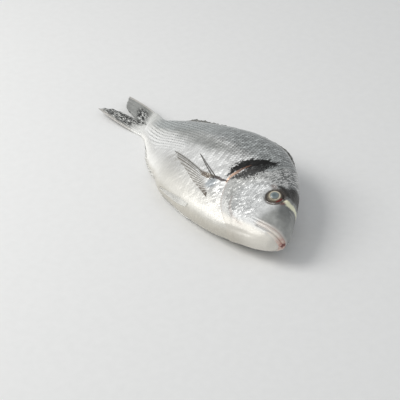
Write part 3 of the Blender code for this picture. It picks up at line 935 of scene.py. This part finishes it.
def glinted(skin, on, colour, dark):
    """Grey speckle with painted shade, white painted glints that follow the scales' edges on the crown, and a
    bluish fin root.
    """
    upper = (on.high + on.cloud * 0.3).rise(0.30, 0.50)
    # Grey speckle: the skin's own dark speckle, and painted shade between the glints
    speckle_and_shade = (on.crackle - on.speck * 0.4).fall(-0.42, -0.12) * on.head * (0.42 + upper * 0.3)
    glints = (on.glints + on.cloud * 5).fall(0.0, 3.5)
    # flecks are painted glints: white highlights of wet scales on the head
    flecks = (on.crackle + on.speck * 0.5).rise(0.18, 0.42) * (on.head * 0.8 + glints).maths("MINIMUM", 1.0)
    crown = on.head * upper * on.station.rise(0.165, 0.185)
    edges = (on.ahead + on.crackle * 0.25).fall(0.10, 0.34) * (on.crackle * 0.6 + on.dice).rise(0.30, 0.60)
    flecks = flecks.maths("MAXIMUM", edges * crown)
    flecks = flecks.maths("MAXIMUM", (on.crackle - on.speck * 0.3).rise(0.10, 0.32) * crown)
    flecks = flecks * (0.78 - dark * 0.5) * on.brown_patch.rise(0.0, 3.0)
    fin_root = (on.fin_root + on.fine_cloud * 5).fall(3.0, 9.0) * on.behind_cover.rise(0.5, 2.0)
    return skin.coats(
        colour,
        (SPECKLE_AND_SHADE_GREY, speckle_and_shade * (1 - dark)),
        (GLINT_WHITE, flecks * (on.height.rise(-0.085, -0.04) * 0.65 + 0.35)),
        (FIN_ROOT_BLUE, fin_root * 0.85),
    )


# %% The whole skin finish
def fish_skin_finish():
    skin = Finish("wet_fish_skin")
    on = skin_numbers(skin)
    mottle = (skin.noise(6.0) - 0.5) * on.station.fall(0.10, 0.15) * on.gape.rise(3.0, 8.0)
    head = skin.brighten(head_colour(skin, on, on.cloud), 1 + mottle * 0.9)
    body = body_colour(skin, on, on.cloud + on.fine_cloud * 0.5)
    # keel is painted shade: a beige band darkening the skin along the keel
    keel = (on.high + on.cloud * 0.05).fall(-1.0, -0.88) * 0.55 * on.station.rise(0.04, 0.18)
    ground = skin.coats(head, (body, on.behind_cover.rise(-0.2, 0.6)), (KEEL_SHADE_BEIGE, keel))
    colour, dark = head_details(skin, on, scaled(skin, on, ground), on.cloud + on.fine_cloud)
    mirror = on.scaly * (0.5 + on.dice * 0.5) * (1 - dark)
    skin.set(
        Base_Color=glinted(skin, on, colour, dark),
        Metallic=0.06 + mirror * (0.16 + 0.14 * on.behind_cover.rise(-2.0, 2.0)) + dark * 0.74,
        Roughness=0.34 - on.silver * 0.12 + on.speck * 0.05 + on.cloud * 0.08 + dark * 0.2,
        Specular_IOR_Level=0.5,
        Coat_Weight=0.34 - dark * 0.28,
        Coat_Roughness=0.14,
    )
    shingle = (1 - on.ahead) * on.scaly * 0.16
    tilt = (on.ahead * (on.lean - 0.5) + on.across * (on.dice - 0.5)) * on.scaly * 0.55
    wrinkled = on.crackle * on.head * 0.16 + on.speck * 0.03 + on.fine_cloud * 0.16 * (1 - on.scaly * 0.7)
    skin.bump(shingle + tilt + wrinkled)
    return skin.material


loft_skin(fish_skin_finish())

# %% [markdown]
# ## Thin sheets with rays, and tapering tubes
# All fins are made the same way: a grid of points through the middle of the fin, and a thickness at
# each point. The thickness swells along each ray, so rays stand out on both faces and the edge is
# ragged where they end. A second helper draws tubes along a path, for lips, spines and loose rays.

# %% Fins from a middle sheet and a thickness
def sheet_of_skin(name, middle, thickness, finish, marks):
    """A closed, thin piece about a grid of points, with one thickness in metres for each point."""
    rows, columns = middle.shape[:2]
    normal = unit(np.cross(np.gradient(middle, axis=1), np.gradient(middle, axis=0)))
    half = np.asarray(thickness)[..., None] / 2
    both = np.concatenate([(middle + normal * half).reshape(-1, 3), (middle - normal * half).reshape(-1, 3)])
    both[:, 2] = np.maximum(both[:, 2], 0.0002)
    count = rows * columns
    index = np.arange(count).reshape(rows, columns)
    border = np.concatenate([index[0, :-1], index[:-1, -1], index[-1, :0:-1], index[:0:-1, 0]])
    following = np.roll(border, -1)
    faces = grid_faces(rows, columns).tolist() + grid_faces(rows, columns, start=count)[:, ::-1].tolist()
    faces += np.stack([border, border + count, following + count, following], axis=-1).tolist()
    doubled = {mark: np.tile(numbers.reshape(-1, 3), (2, 1)) for mark, numbers in marks.items()}
    return add_piece(name, both, faces, finish, doubled, sharp=75.0)


def fan(roots, ends, rows):
    """Points along rays, from a row of roots to a row of ends."""
    share = np.linspace(0, 1, rows)[:, None, None]
    return roots + (ends - roots) * share


def forked_rays(across, rise, fork_at=0.35):
    """1 on a ray and 0 between rays; each ray splits in two beyond fork_at of its length."""
    within = across - np.floor(across) - 0.5
    parted = 0.20 * ease(fork_at, fork_at + 0.35, rise)
    width = 0.17 - 0.05 * ease(fork_at, 1.0, rise)
    return np.maximum(bump(within - parted, width), bump(within + parted, width))


def fin_marks(across, rise, other):
    across, rise, other = np.broadcast_arrays(across, rise, other)
    return {"fin": np.stack([across, rise, other], axis=-1)}


# %% Tapering tubes along paths
def tubes(name, paths, finish, sides=12):
    """Closed tubes, one for each (points, radius, flatness); flatness 1 is round."""
    points, faces, marks = [], [], []
    turn = np.linspace(0, 2 * np.pi, sides, endpoint=False)
    for number, (path, radius, flatness) in enumerate(paths):
        start = sum(len(part) for part in points)
        heading = unit(np.gradient(path, axis=0))
        outward = unit(np.cross(heading, np.cross([0.0, 0.0, 1.0], heading)))
        across = np.cross(heading, outward)
        radius = np.broadcast_to(radius, len(path))[:, None, None]
        ring = np.cos(turn)[:, None] * across[:, None] + flatness * np.sin(turn)[:, None] * outward[:, None]
        points.append((path[:, None] + radius * ring).reshape(-1, 3))
        faces += grid_faces(len(path), sides, closed=True, start=start)[:, ::-1].tolist()
        faces.append(list(range(start, start + sides)))
        last = start + (len(path) - 1) * sides
        faces.append(list(range(last, last + sides))[::-1])
        rise = np.linspace(0, 1, len(path))[:, None]
        marks.append(fin_marks(turn / (2 * np.pi), rise, float(number))["fin"].reshape(-1, 3))
    return add_piece(name, np.concatenate(points), faces, finish, {"fin": np.concatenate(marks)})


# %% [markdown]
# ## The eyes
# A dead fish's lens turns milky, so the pupil is a cloudy blue-grey and not black. Round it lies a
# cream and olive iris with a dark outer ring, bloodshot towards the snout. A sphere would bulge too
# far, so the eye is one disc of rings that leans a little to the belly and the snout: the lens bulges
# most, a shallow groove parts it from the iris, and the rim dips under the skin of the socket.

# %% Eye finish and shape
PUPIL_RADIUS = 4.4
IRIS_RADIUS = 7.0
EYE_REACH = 9.7
EYE_HIGH = 2.0
EYE_FALL = 3.4
EYE_LEAN = 14.0
EYE_LEAN_AHEAD = 13.0
EYE_TALL = 0.96
PUPIL_GREY = paint(98, 110, 112)
PUPIL_PALE = paint(130, 141, 142)
PUPIL_EDGE = paint(74, 76, 72)
IRIS_OLIVE = paint(124, 114, 94)
IRIS_BROWN = paint(88, 80, 68)
IRIS_BEIGE = paint(150, 142, 120)
IRIS_CREAM = paint(222, 216, 198)
EYE_RIM_DARK = paint(40, 35, 32)
EYE_BLOOD = paint(122, 38, 32)


def eye_finish():
    eye = Finish("eye")
    from_middle, toward_snout, toward_back = eye.marked("eye")
    cloud = eye.noise(2.4, detail=3.0) - 0.5
    fine = eye.noise(0.7) - 0.5
    wobble = from_middle + cloud * 0.8
    cream = eye.blend(IRIS_BEIGE, IRIS_CREAM, (toward_back * 0.5 + cloud + 0.5).rise(0.0, 0.8))
    snout_side = (toward_snout - toward_back.maths("ABSOLUTE") * 0.5).rise(0.36, 0.64)
    iris = eye.coats(
        IRIS_OLIVE,
        (IRIS_BROWN, (wobble + fine * 0.6).rise(5.6, 6.9)),
        (cream, (wobble + fine * 0.5).near(5.2, 1.5) * 0.9),
        (EYE_RIM_DARK, (wobble + toward_back * 0.6 - toward_snout * 0.6).rise(7.3, 8.2) * 0.85),
        (EYE_BLOOD, wobble.near(7.6, 2.4) * snout_side * 0.9),
        (PUPIL_EDGE, wobble.near(4.2, 0.5) * 0.7),
    )
    milky = eye.blend(PUPIL_GREY, PUPIL_PALE, (wobble + toward_back).rise(0.5, 3.8))
    lens = from_middle.fall(4.2, 5.0)
    eye.set(
        Base_Color=eye.blend(milky, iris, wobble.rise(3.9, 4.5)),
        Roughness=0.42 - lens * 0.12 + fine * 0.1,
        Coat_Weight=0.10 + lens * 0.4,
        Coat_Roughness=0.14,
        Specular_IOR_Level=0.3,
    )
    eye.bump(fine * 0.10 * from_middle.rise(4.4, 5.2) + cloud * 0.06)
    return eye.material


def leaned(one, other, degrees):
    """Two square directions turned in their own plane, the first one towards the second."""
    c, s = np.cos(np.radians(degrees)), np.sin(np.radians(degrees))
    return c * one + s * other, c * other - s * one


def eye_dome(name, side, finish, rings=44, spokes=88):
    """The eye as a disc of rings about a place on the flank."""
    surface = on_flank(*EYE_AT, side)
    outward = unit(surface - on_flank(*EYE_AT, side, -0.001))
    forward = unit(on_flank(EYE_AT[0] - 0.01, EYE_AT[1], side) - surface)
    forward = unit(forward - outward * np.dot(forward, outward))
    upward = np.cross(outward, forward) * side
    outward, upward = leaned(outward, upward, -EYE_LEAN)
    outward, forward = leaned(outward, forward, EYE_LEAN_AHEAD)
    turn = np.linspace(0, 2 * np.pi, spokes, endpoint=False)
    mm = np.linspace(0.02, 1.0, rings)[:, None] * EYE_REACH + 0 * turn
    lens = 0.5 * (1 - ease(PUPIL_RADIUS * 0.5, PUPIL_RADIUS + 0.5, mm))
    groove = 0.25 * bump(mm - PUPIL_RADIUS - 0.6, 0.5)
    rim = 0.35 * bump(mm - IRIS_RADIUS - 0.6, 0.7)
    high = EYE_HIGH - EYE_FALL * (mm / EYE_REACH) ** 2.4 + lens - groove + rim
    spread = np.cos(turn)[:, None] * forward + np.sin(turn)[:, None] * EYE_TALL * upward
    points = surface + high[..., None] / 1000 * outward + mm[..., None] / 1000 * spread
    faces = grid_faces(rings, spokes, closed=True).tolist()
    faces.append(list(range(spokes))[::-1])
    faces.append(list(range((rings - 1) * spokes, rings * spokes)))
    faces = [face[::-side] for face in faces]
    mark = np.stack([mm, mm / 10 * np.cos(turn), mm / 10 * np.sin(turn)], axis=-1)
    return add_piece(name, points, faces, finish, {"eye": mark})


eye_material = eye_finish()
for side, flank in ((1, "right"), (-1, "left")):
    eye_dome("eye_" + flank, side, eye_material)

# %% [markdown]
# ## The lips
# The lips are two soft rolls that meet along the gape and thin out towards its corners. The upper
# one lies on the folded jaw bone. Small wrinkles run across both, and at the front a little of the
# blood-red mouth shows. Tubes sunk halfway into the skin give them a clean line where they meet.

# %% Lip finish and shape
LIP_RADIUS = 0.0021
LIP_THINNING = 0.80
LIP_WRINKLE = 0.025
LIP_BEIGE = paint(216, 196, 184)
LIP_ROSE = paint(190, 138, 126)
LIP_PALE = paint(224, 217, 207)
LIP_DUSK = paint(168, 156, 148)
MOUTH_RED = paint(104, 30, 26)


def lip_finish():
    lip = Finish("lip")
    share = lip.marked("fin")[1]
    cloud = lip.noise(3.0, detail=3.0) - 0.5
    fine = lip.noise(0.8) - 0.5
    front = (share - 0.5 + cloud * 0.03).maths("ABSOLUTE")
    colour = lip.coats(
        LIP_BEIGE,
        (LIP_ROSE, (cloud * 2 + 0.5).rise(0.1, 0.9)),
        (LIP_PALE, (front + cloud * 0.1).rise(0.10, 0.26)),
        (MOUTH_RED, front.fall(0.018, 0.060) * 0.9),
        (LIP_DUSK, (fine * 2).rise(0.1, 0.6) * 0.35),
    )
    lip.set(Base_Color=colour, Roughness=0.34 + fine * 0.2, Coat_Weight=0.5, Coat_Roughness=0.12)
    lip.bump(fine * 0.12 + cloud * 0.2)
    return lip.material


def snout_reaches(height):
    """The first station where the rounded snout is as high, or as low, as a height over the axis."""
    station = np.linspace(0.0, SNOUT_ROUNDING, 500)
    middle, half_height, _ = outline(station)
    return station[np.argmax(np.sign(height) * middle + half_height > abs(height))]


def lip(name, above, finish):
    """A lip from one corner of the mouth round the snout to the other, over (1) or under (-1) the gape."""
    share = np.linspace(-1, 1, 161)
    offset = above * LIP_RADIUS / STANDARD_LENGTH
    front = snout_reaches(offset)
    station = front + (MOUTH_CORNER[0] - front) * share**2
    height = MOUTH_CORNER[1] * share**2 + offset * (1 - 0.3 * share**2)
    wrinkle = 1 + LIP_WRINKLE * np.sin(share * 150) * np.sin(share * 41 + above)
    points = on_flank(station, height, np.where(share < 0, -1, 1), -LIP_RADIUS * (0.45 + 0.22 * share**2))
    radius = LIP_RADIUS * (1 - LIP_THINNING * share**2) * wrinkle
    return tubes(name, [(points, radius, 1.0)], finish, sides=20)


lip_material = lip_finish()
lip("upper_lip", 1, lip_material)
lip("lower_lip", -1, lip_material)

# %% [markdown]
# ## The fins
# The tail fin is forked, with rays that split in two towards a frayed edge. The breast fin is a fan
# whose stiff leading rays lie along the flank, and two loose rays have sprung free above it. The
# belly fins are folded against the keel, and the back fin's spines lie flat, one over the next.

# %% Finish of the plain fins
def ray_lines(fin, across, fine, width):
    """1 along each ray and 0 on the web between rays."""
    within = (across.maths("FRACT") - 0.5).maths("ABSOLUTE")
    return (within + fine * 0.16).fall(width * 0.3, width)


def wet_fin(fin, colour, relief, solid, fine):
    fin.set(Base_Color=colour, Alpha=solid.maths("MINIMUM", 1.0), Metallic=0.12, Roughness=0.36 + fine * 0.2)
    fin.set(Coat_Weight=0.35, Coat_Roughness=0.15)
    fin.bump(relief)
    return fin.material


def fin_finish(name, ray_colour, web_colour, dark_colour, dark_from, dark_to, clear):
    """Rays and web of their own colours, darker towards the edge, and a web that light passes through."""
    fin = Finish(name)
    across, rise, _ = fin.marked("fin")
    cloud = fin.noise(5.0, detail=3.0) - 0.5
    fine = fin.noise(0.9) - 0.5
    on_ray = ray_lines(fin, across, fine, 0.36)
    dark = (rise + cloud * 0.5).rise(dark_from, dark_to) * (0.45 + fine * 0.8 + cloud * 0.5)
    colour = fin.coats(web_colour, (ray_colour, on_ray), (dark_colour, dark))
    colour = fin.brighten(colour, 1 + cloud * 0.25 + fine * 0.3)
    solid = on_ray * 0.6 + rise.fall(0.0, 0.35) + (1 - clear)
    return wet_fin(fin, colour, on_ray * 0.12 + fine * 0.10, solid, fine)


# %% Finish of the tail fin
TAIL_WEB = paint(128, 130, 126)
TAIL_WEB_LOWER = paint(84, 86, 83)
TAIL_RAY = paint(166, 167, 162)
TAIL_RAY_LOWER = paint(196, 197, 192)
TAIL_BLACK = paint(18, 20, 18)
TAIL_FLECK = paint(226, 227, 223)
TAIL_PALE = paint(158, 159, 156)
# Painted highlight along the fin's outer edges
TAIL_EDGE_HIGHLIGHT = paint(208, 204, 198)
TAIL_ROOT_WHITE = paint(234, 234, 231)


def tail_finish():
    """White at the root, dashed rays over a dark web, black round the fork with light flecks, and pale edges
    of painted highlight.
    """
    tail = Finish("tail_fin")
    across, rise, share = tail.marked("fin")
    cloud = tail.noise(6.0, detail=3.0) - 0.5
    fine = tail.noise(0.8) - 0.5
    on_ray = ray_lines(tail, across * 2, fine, 0.34)
    dashes = (rise * 34 + cloud * 4 + across * 0.37).maths("FRACT").fall(0.45, 0.75)
    lower = (share + cloud * 0.1).rise(0.44, 0.54)
    web = tail.blend(TAIL_WEB, TAIL_WEB_LOWER, lower)
    ray = tail.blend(TAIL_RAY, TAIL_RAY_LOWER, lower * dashes)
    fork = (share - 0.53).maths("ABSOLUTE") * 0.78 - (rise - 0.45) * 0.10
    pale = (share + cloud * 0.1).fall(0.42, 0.50) * (rise + cloud * 0.25).rise(0.56, 0.70)
    dark = (fork + cloud * 0.20 + fine * 0.15).fall(0.20, 0.40) * (rise + cloud * 0.3).rise(0.22, 0.38)
    dark = dark * (1 - pale * 0.85)
    streaks = tail.node("ShaderNodeCombineXYZ", None, [across * 2.1, rise * 13, share])
    flecks = (tail.noise(1.0, at=streaks) + fine * 0.2).rise(0.52, 0.60) * dark
    # outer is a painted highlight along both outer edges
    outer = (share + cloud * 0.03).fall(0.02, 0.07) + (share + cloud * 0.03).rise(0.90, 0.97)
    root = (rise + cloud * 0.25 + fine * 0.15).fall(0.16, 0.38) * (0.95 - on_ray * 0.2)
    colour = tail.coats(
        web,
        (ray, on_ray * (0.45 + dashes * 0.55)),
        (TAIL_BLACK, dark * 0.97),
        (TAIL_FLECK, flecks * 0.9),
        (TAIL_PALE, pale * 0.75),
        (TAIL_EDGE_HIGHLIGHT, outer * 0.75),
        (TAIL_ROOT_WHITE, root),
    )
    colour = tail.brighten(colour, 1 + cloud * 0.3 + fine * 0.4)
    solid = 1 - (rise + cloud * 0.2).rise(0.80, 1.0) * (1 - on_ray) * 0.45
    return wet_fin(tail, colour, on_ray * 0.10 + fine * 0.12, solid, fine)


# %% Finish of the breast fins
BREAST_RAY = paint(136, 130, 120)
BREAST_RAY_LEADING = paint(58, 54, 48)
BREAST_WEB = paint(226, 224, 219)
BREAST_WEB_LOW = paint(178, 170, 158)
BREAST_ROOT_BROWN = paint(104, 80, 62)
BREAST_LOW_BROWN = paint(104, 92, 82)
BREAST_ROOT_BLUE = paint(206, 211, 214)


def breast_fin_finish():
    """Dark leading rays, then thin rays over a clear web that turns brown at its root and lowest rays."""
    fin = Finish("breast_fin")
    across, rise, share = fin.marked("fin")
    cloud = fin.noise(5.0, detail=3.0) - 0.5
    fine = fin.noise(0.8) - 0.5
    on_ray = ray_lines(fin, across, fine, 0.28)
    leading = (share + cloud * 0.03).fall(0.22, 0.30)
    ray = fin.blend(BREAST_RAY, BREAST_RAY_LEADING, leading)
    web = fin.blend(BREAST_WEB, BREAST_WEB_LOW, (share + cloud * 0.2).rise(0.70, 0.95))
    brown = (rise + cloud * 0.12).fall(0.08, 0.34) * (share + cloud * 0.2).fall(0.25, 0.55)
    low = (share + cloud * 0.15).rise(0.66, 0.88) * (rise + cloud * 0.2).rise(0.05, 0.35)
    colour = fin.coats(
        web,
        (ray, on_ray),
        (BREAST_ROOT_BROWN, brown * 0.8),
        (BREAST_LOW_BROWN, low * (0.70 + on_ray * 0.22)),
        (BREAST_ROOT_BLUE, (rise + fine * 0.1).fall(0.03, 0.16) * share.rise(0.30, 0.50) * 0.8),
    )
    colour = fin.brighten(colour, 1 + cloud * 0.3 + fine * 0.4)
    solid = on_ray * 0.75 + leading * 0.30 + brown + (rise + cloud * 0.1).fall(0.0, 0.25) * 0.4
    solid = solid + share.rise(0.80, 1.0) * 0.3 + 0.28
    return wet_fin(fin, colour, on_ray * 0.12 + fine * 0.10, solid, fine)


# %% The tail fin
TAIL_ROOT_AT = 0.955
TAIL_ROOT_INSET = 0.94
TAIL_ENDS = [
    (0.00, 0.365, 0.003, 0.0084), (0.20, 0.356, -0.004, 0.0089), (0.38, 0.346, -0.010, 0.0094),
    (0.46, 0.334, -0.013, 0.0089), (0.50, 0.318, -0.012, 0.0069), (0.54, 0.335, -0.017, 0.0054),
    (0.64, 0.345, -0.0215, 0.0059), (0.78, 0.352, -0.0275, 0.0064), (1.00, 0.359, -0.040, 0.0074),
]
TAIL_BULGE = 0.0022
TAIL_RAYS = 20


def tail_fin(finish, rows=90):
    """The forked tail fin, from the tail root to its frayed rear edge."""
    columns = TAIL_RAYS * 14 + 1
    share = np.linspace(0, 1, columns)
    across = share * TAIL_RAYS
    middle, half_height, _ = outline(TAIL_ROOT_AT)
    roots = laid_down(TAIL_ROOT_AT, middle + half_height * TAIL_ROOT_INSET * (1 - 2 * share), 0.0)
    behind, over_axis, over_floor = along(TAIL_ENDS, share).T
    ends = np.stack([SNOUT_X - behind, AXIS_Y + over_axis, over_floor], axis=-1)
    ragged = 1.012 - 0.018 * (1 + np.sin(np.floor(across) * 12.9)) - 0.026 * (1 - forked_rays(across, 1.0))
    ends = roots + (ends - roots) * ragged[:, None]
    points = fan(roots, ends, rows)
    rise = np.linspace(0, 1, rows)[:, None]
    points[..., 1] += TAIL_BULGE * np.sin(np.pi * rise) * (1 - 2 * share)
    points[..., 2] += 0.0005 * np.cos(2 * np.pi * across / 3 + 1) * rise
    rays = forked_rays(across[None], rise)
    outer = bump(np.minimum(share, 1 - share) - 0.02, 0.025)
    thickness = 0.0006 + (0.0026 - 0.0020 * ease(0, 0.4, rise)) * (0.25 + 0.75 * ease(0, 0.2, 1 - rise))
    thickness = thickness * 0.5 + 0.0008 * rays * (1 - 0.6 * rise) + 0.0010 * outer * (1 - 0.6 * rise)
    return sheet_of_skin("tail_fin", points, thickness, finish, fin_marks(across, rise, share))


tail_fin(tail_finish())

# %% The breast fins
PECTORAL_ROOT = [(0.0, 0.374, -0.047), (1.0, 0.338, -0.082)]
PECTORAL_ENDS = [
    (0.00, 0.644, -0.053), (0.23, 0.612, -0.064), (0.32, 0.565, -0.075), (0.52, 0.472, -0.089),
    (0.77, 0.390, -0.096), (1.00, 0.322, -0.098),
]
PECTORAL_SPUR = [(0.0, 0.370, -0.034), (0.5, 0.446, -0.023), (1.0, 0.524, -0.009)]
PECTORAL_RAYS = 13


def pectoral_fan(name, side, finish, rows=70):
    """The fan of the breast fin, lying on its flank behind the gill cover."""
    columns = PECTORAL_RAYS * 12 + 1
    share = np.linspace(0, 1, columns)
    across = share * PECTORAL_RAYS
    roots, ends = along(PECTORAL_ROOT, share), along(PECTORAL_ENDS, share)
    ragged = 1 - 0.03 * (1 + np.sin(np.floor(across) * 7.7)) * ease(0.0, 0.1, share)
    ends = roots + (ends - roots) * ragged[:, None]
    places = fan(roots, ends, rows)
    station, height = np.moveaxis(places, -1, 0)
    rise = np.linspace(0, 1, rows)[:, None]
    rays = forked_rays(across[None], rise, fork_at=0.6)
    leading = bump(share - 0.02, 0.05)
    lifted = -0.0008 * (1 - rise) + 0.0012 * leading * ease(0.05, 0.3, rise) + 0.0003
    points = on_flank(station, height, side, lifted)
    thickness = 0.0004 + 0.0005 * rays * (1 - 0.7 * rise) + 0.0009 * leading * (1 - 0.5 * rise)
    return sheet_of_skin(name, points, thickness, finish, fin_marks(across, rise, share))


def loose_ray(name, side, finish):
    """Two thin rays above the fan that run side by side from their roots and meet at the tip."""
    share = np.linspace(0, 1, 40)
    station, height = along(PECTORAL_SPUR, share).T
    rods = []
    for apart in (-1, 1):
        parted = apart * 0.0045 * (1 - share) ** 0.8
        points = on_flank(station, height + parted, side, 0.0006 + 0.0008 * share)
        points[:, 2] = np.maximum(points[:, 2], 0.0008)
        rods.append((points, 0.00055 * (1 - 0.5 * share), 0.8))
    return tubes(name, rods, finish)


LOOSE_RAY = paint(84, 80, 74)
LOOSE_RAY_SIDE = paint(104, 98, 90)
LOOSE_RAY_TIP = paint(70, 60, 52)
fan_finish = breast_fin_finish()
ray_finish = fin_finish("loose_ray", LOOSE_RAY, LOOSE_RAY_SIDE, LOOSE_RAY_TIP, 0.9, 1.4, clear=0.0)
for side, flank in ((1, "right"), (-1, "left")):
    pectoral_fan("breast_fin_" + flank, side, fan_finish)
    loose_ray("loose_rays_" + flank, side, ray_finish)

# %% The belly fins
PELVIC = [(0.0, 0.365, 22.0, 4.0), (0.3, 0.42, 19.0, 6.0), (0.7, 0.49, 15.0, 4.5), (1.0, 0.545, 13.0, 2.5)]
PELVIC_RAYS = 6


def belly_fin(name, side, finish, rows=60):
    """A belly fin, folded back against the keel."""
    rise = np.linspace(0, 1, rows)[:, None]
    station, centre, half_width = along(PELVIC, rise[:, 0]).T
    columns = PELVIC_RAYS * 10 + 1
    share = np.linspace(-1, 1, columns)
    across = (share + 1) / 2 * PELVIC_RAYS
    ragged = station[:, None] - 0.010 * rise * (1 + np.sin(np.floor(across) * 5.1)) * 0.5
    angle = side * np.radians(180 - centre[:, None] + half_width[:, None] * share)
    rays = forked_rays(across[None], rise, fork_at=0.5)
    points = skin(ragged, angle, 0.0002 + 0.0006 * ease(0, 0.2, rise) * (1 - abs(share) * 0.5))
    thickness = 0.0004 + 0.0007 * rays * (1 - 0.6 * rise)
    return sheet_of_skin(name, points, thickness, finish, fin_marks(across, rise, share))


BELLY_RAY = paint(240, 239, 234)
BELLY_WEB = paint(232, 231, 226)
BELLY_EDGE = paint(200, 196, 186)
belly_fin_finish = fin_finish("belly_fin", BELLY_RAY, BELLY_WEB, BELLY_EDGE, 0.8, 1.1, clear=0.5)
for side, flank in ((1, "right"), (-1, "left")):
    belly_fin("belly_fin_" + flank, side, belly_fin_finish)

# %% The folded fins of the back and the keel
DORSAL_FOLD = [
    (0.305, 0.0002), (0.36, 0.0026), (0.42, 0.0038), (0.60, 0.0048), (0.74, 0.0058), (0.80, 0.0064),
    (0.83, 0.0045), (0.845, 0.0005),
]
ANAL_FOLD = [(0.655, 0.0005), (0.675, 0.0020), (0.76, 0.0024), (0.82, 0.0026), (0.85, 0.0018), (0.87, 0.0005)]
FOLD_THICKNESS = 0.0040


def crest(station, angle, proud, sway=0.0):
    """Points over the back (angle 0) or under the keel (angle pi), proud by metres and swayed to a side."""
    middle, half_height, _ = outline(station)
    height = middle + np.cos(angle) * (half_height + proud / STANDARD_LENGTH)
    return laid_down(station, height, sway / STANDARD_LENGTH)


def folded_web(name, knots, angle, rays, finish, rows=16):
    """The web and soft rays of a fin that is folded down, with rays that slant to the rear."""
    columns = rays * 10 + 1
    station = np.linspace(knots[0][0], knots[-1][0], columns)
    rise = np.linspace(0, 1, rows)[:, None]
    across = np.linspace(0, rays, columns) - 2.2 * rise
    ridge = forked_rays(across, rise, fork_at=0.9)
    tall = along(knots, station) * (0.86 + 0.14 * ridge[-1])
    proud = rise * tall - 0.0025 * (1 - rise)
    sway = 0.0006 * np.cos(2 * np.pi * across / 2.3)
    thickness = FOLD_THICKNESS * (0.55 - 0.40 * rise) + 0.0006 * ridge
    middle = crest(station, angle, proud, sway)
    return sheet_of_skin(name, middle, thickness, finish, fin_marks(across, rise, station))


def folded_spines(name, knots, angle, first, last, count, length, finish):
    """Spines folded flat, each rooted in the crest and lying back over the next."""
    rods = []
    for number in range(count):
        start = first + (last - first) * number / max(count - 1, 1)
        share = np.linspace(0, 1, 26)
        station = start + length * share
        tall = along(knots, np.clip(station, knots[0][0], knots[-1][0]))
        proud = -0.0015 + (tall + 0.0012) * ease(0.0, 0.7, share)
        sway = 0.0013 * (-1) ** number * np.sin(np.pi * np.minimum(share * 1.3, 1.0)) + 0.0002
        points = crest(station, angle, proud, sway)
        points[:, 2] = np.maximum(points[:, 2], 0.0012)
        rods.append((points, 0.0010 * (1 - 0.8 * share**1.5), 0.9))
    return tubes(name, rods, finish)


BACK_RAY = paint(158, 157, 150)
BACK_WEB = paint(126, 128, 126)
BACK_EDGE = paint(62, 60, 56)
back_fin_finish = fin_finish("back_fin", BACK_RAY, BACK_WEB, BACK_EDGE, 0.4, 0.9, clear=0.0)
folded_web("back_fin", DORSAL_FOLD, 0.0, 34, back_fin_finish)
folded_spines("back_fin_spines", DORSAL_FOLD, 0.0, 0.305, 0.60, 11, 0.085, back_fin_finish)
folded_web("keel_fin", ANAL_FOLD, np.pi, 12, belly_fin_finish)
folded_spines("keel_fin_spines", ANAL_FOLD, np.pi, 0.655, 0.69, 3, 0.050, belly_fin_finish)
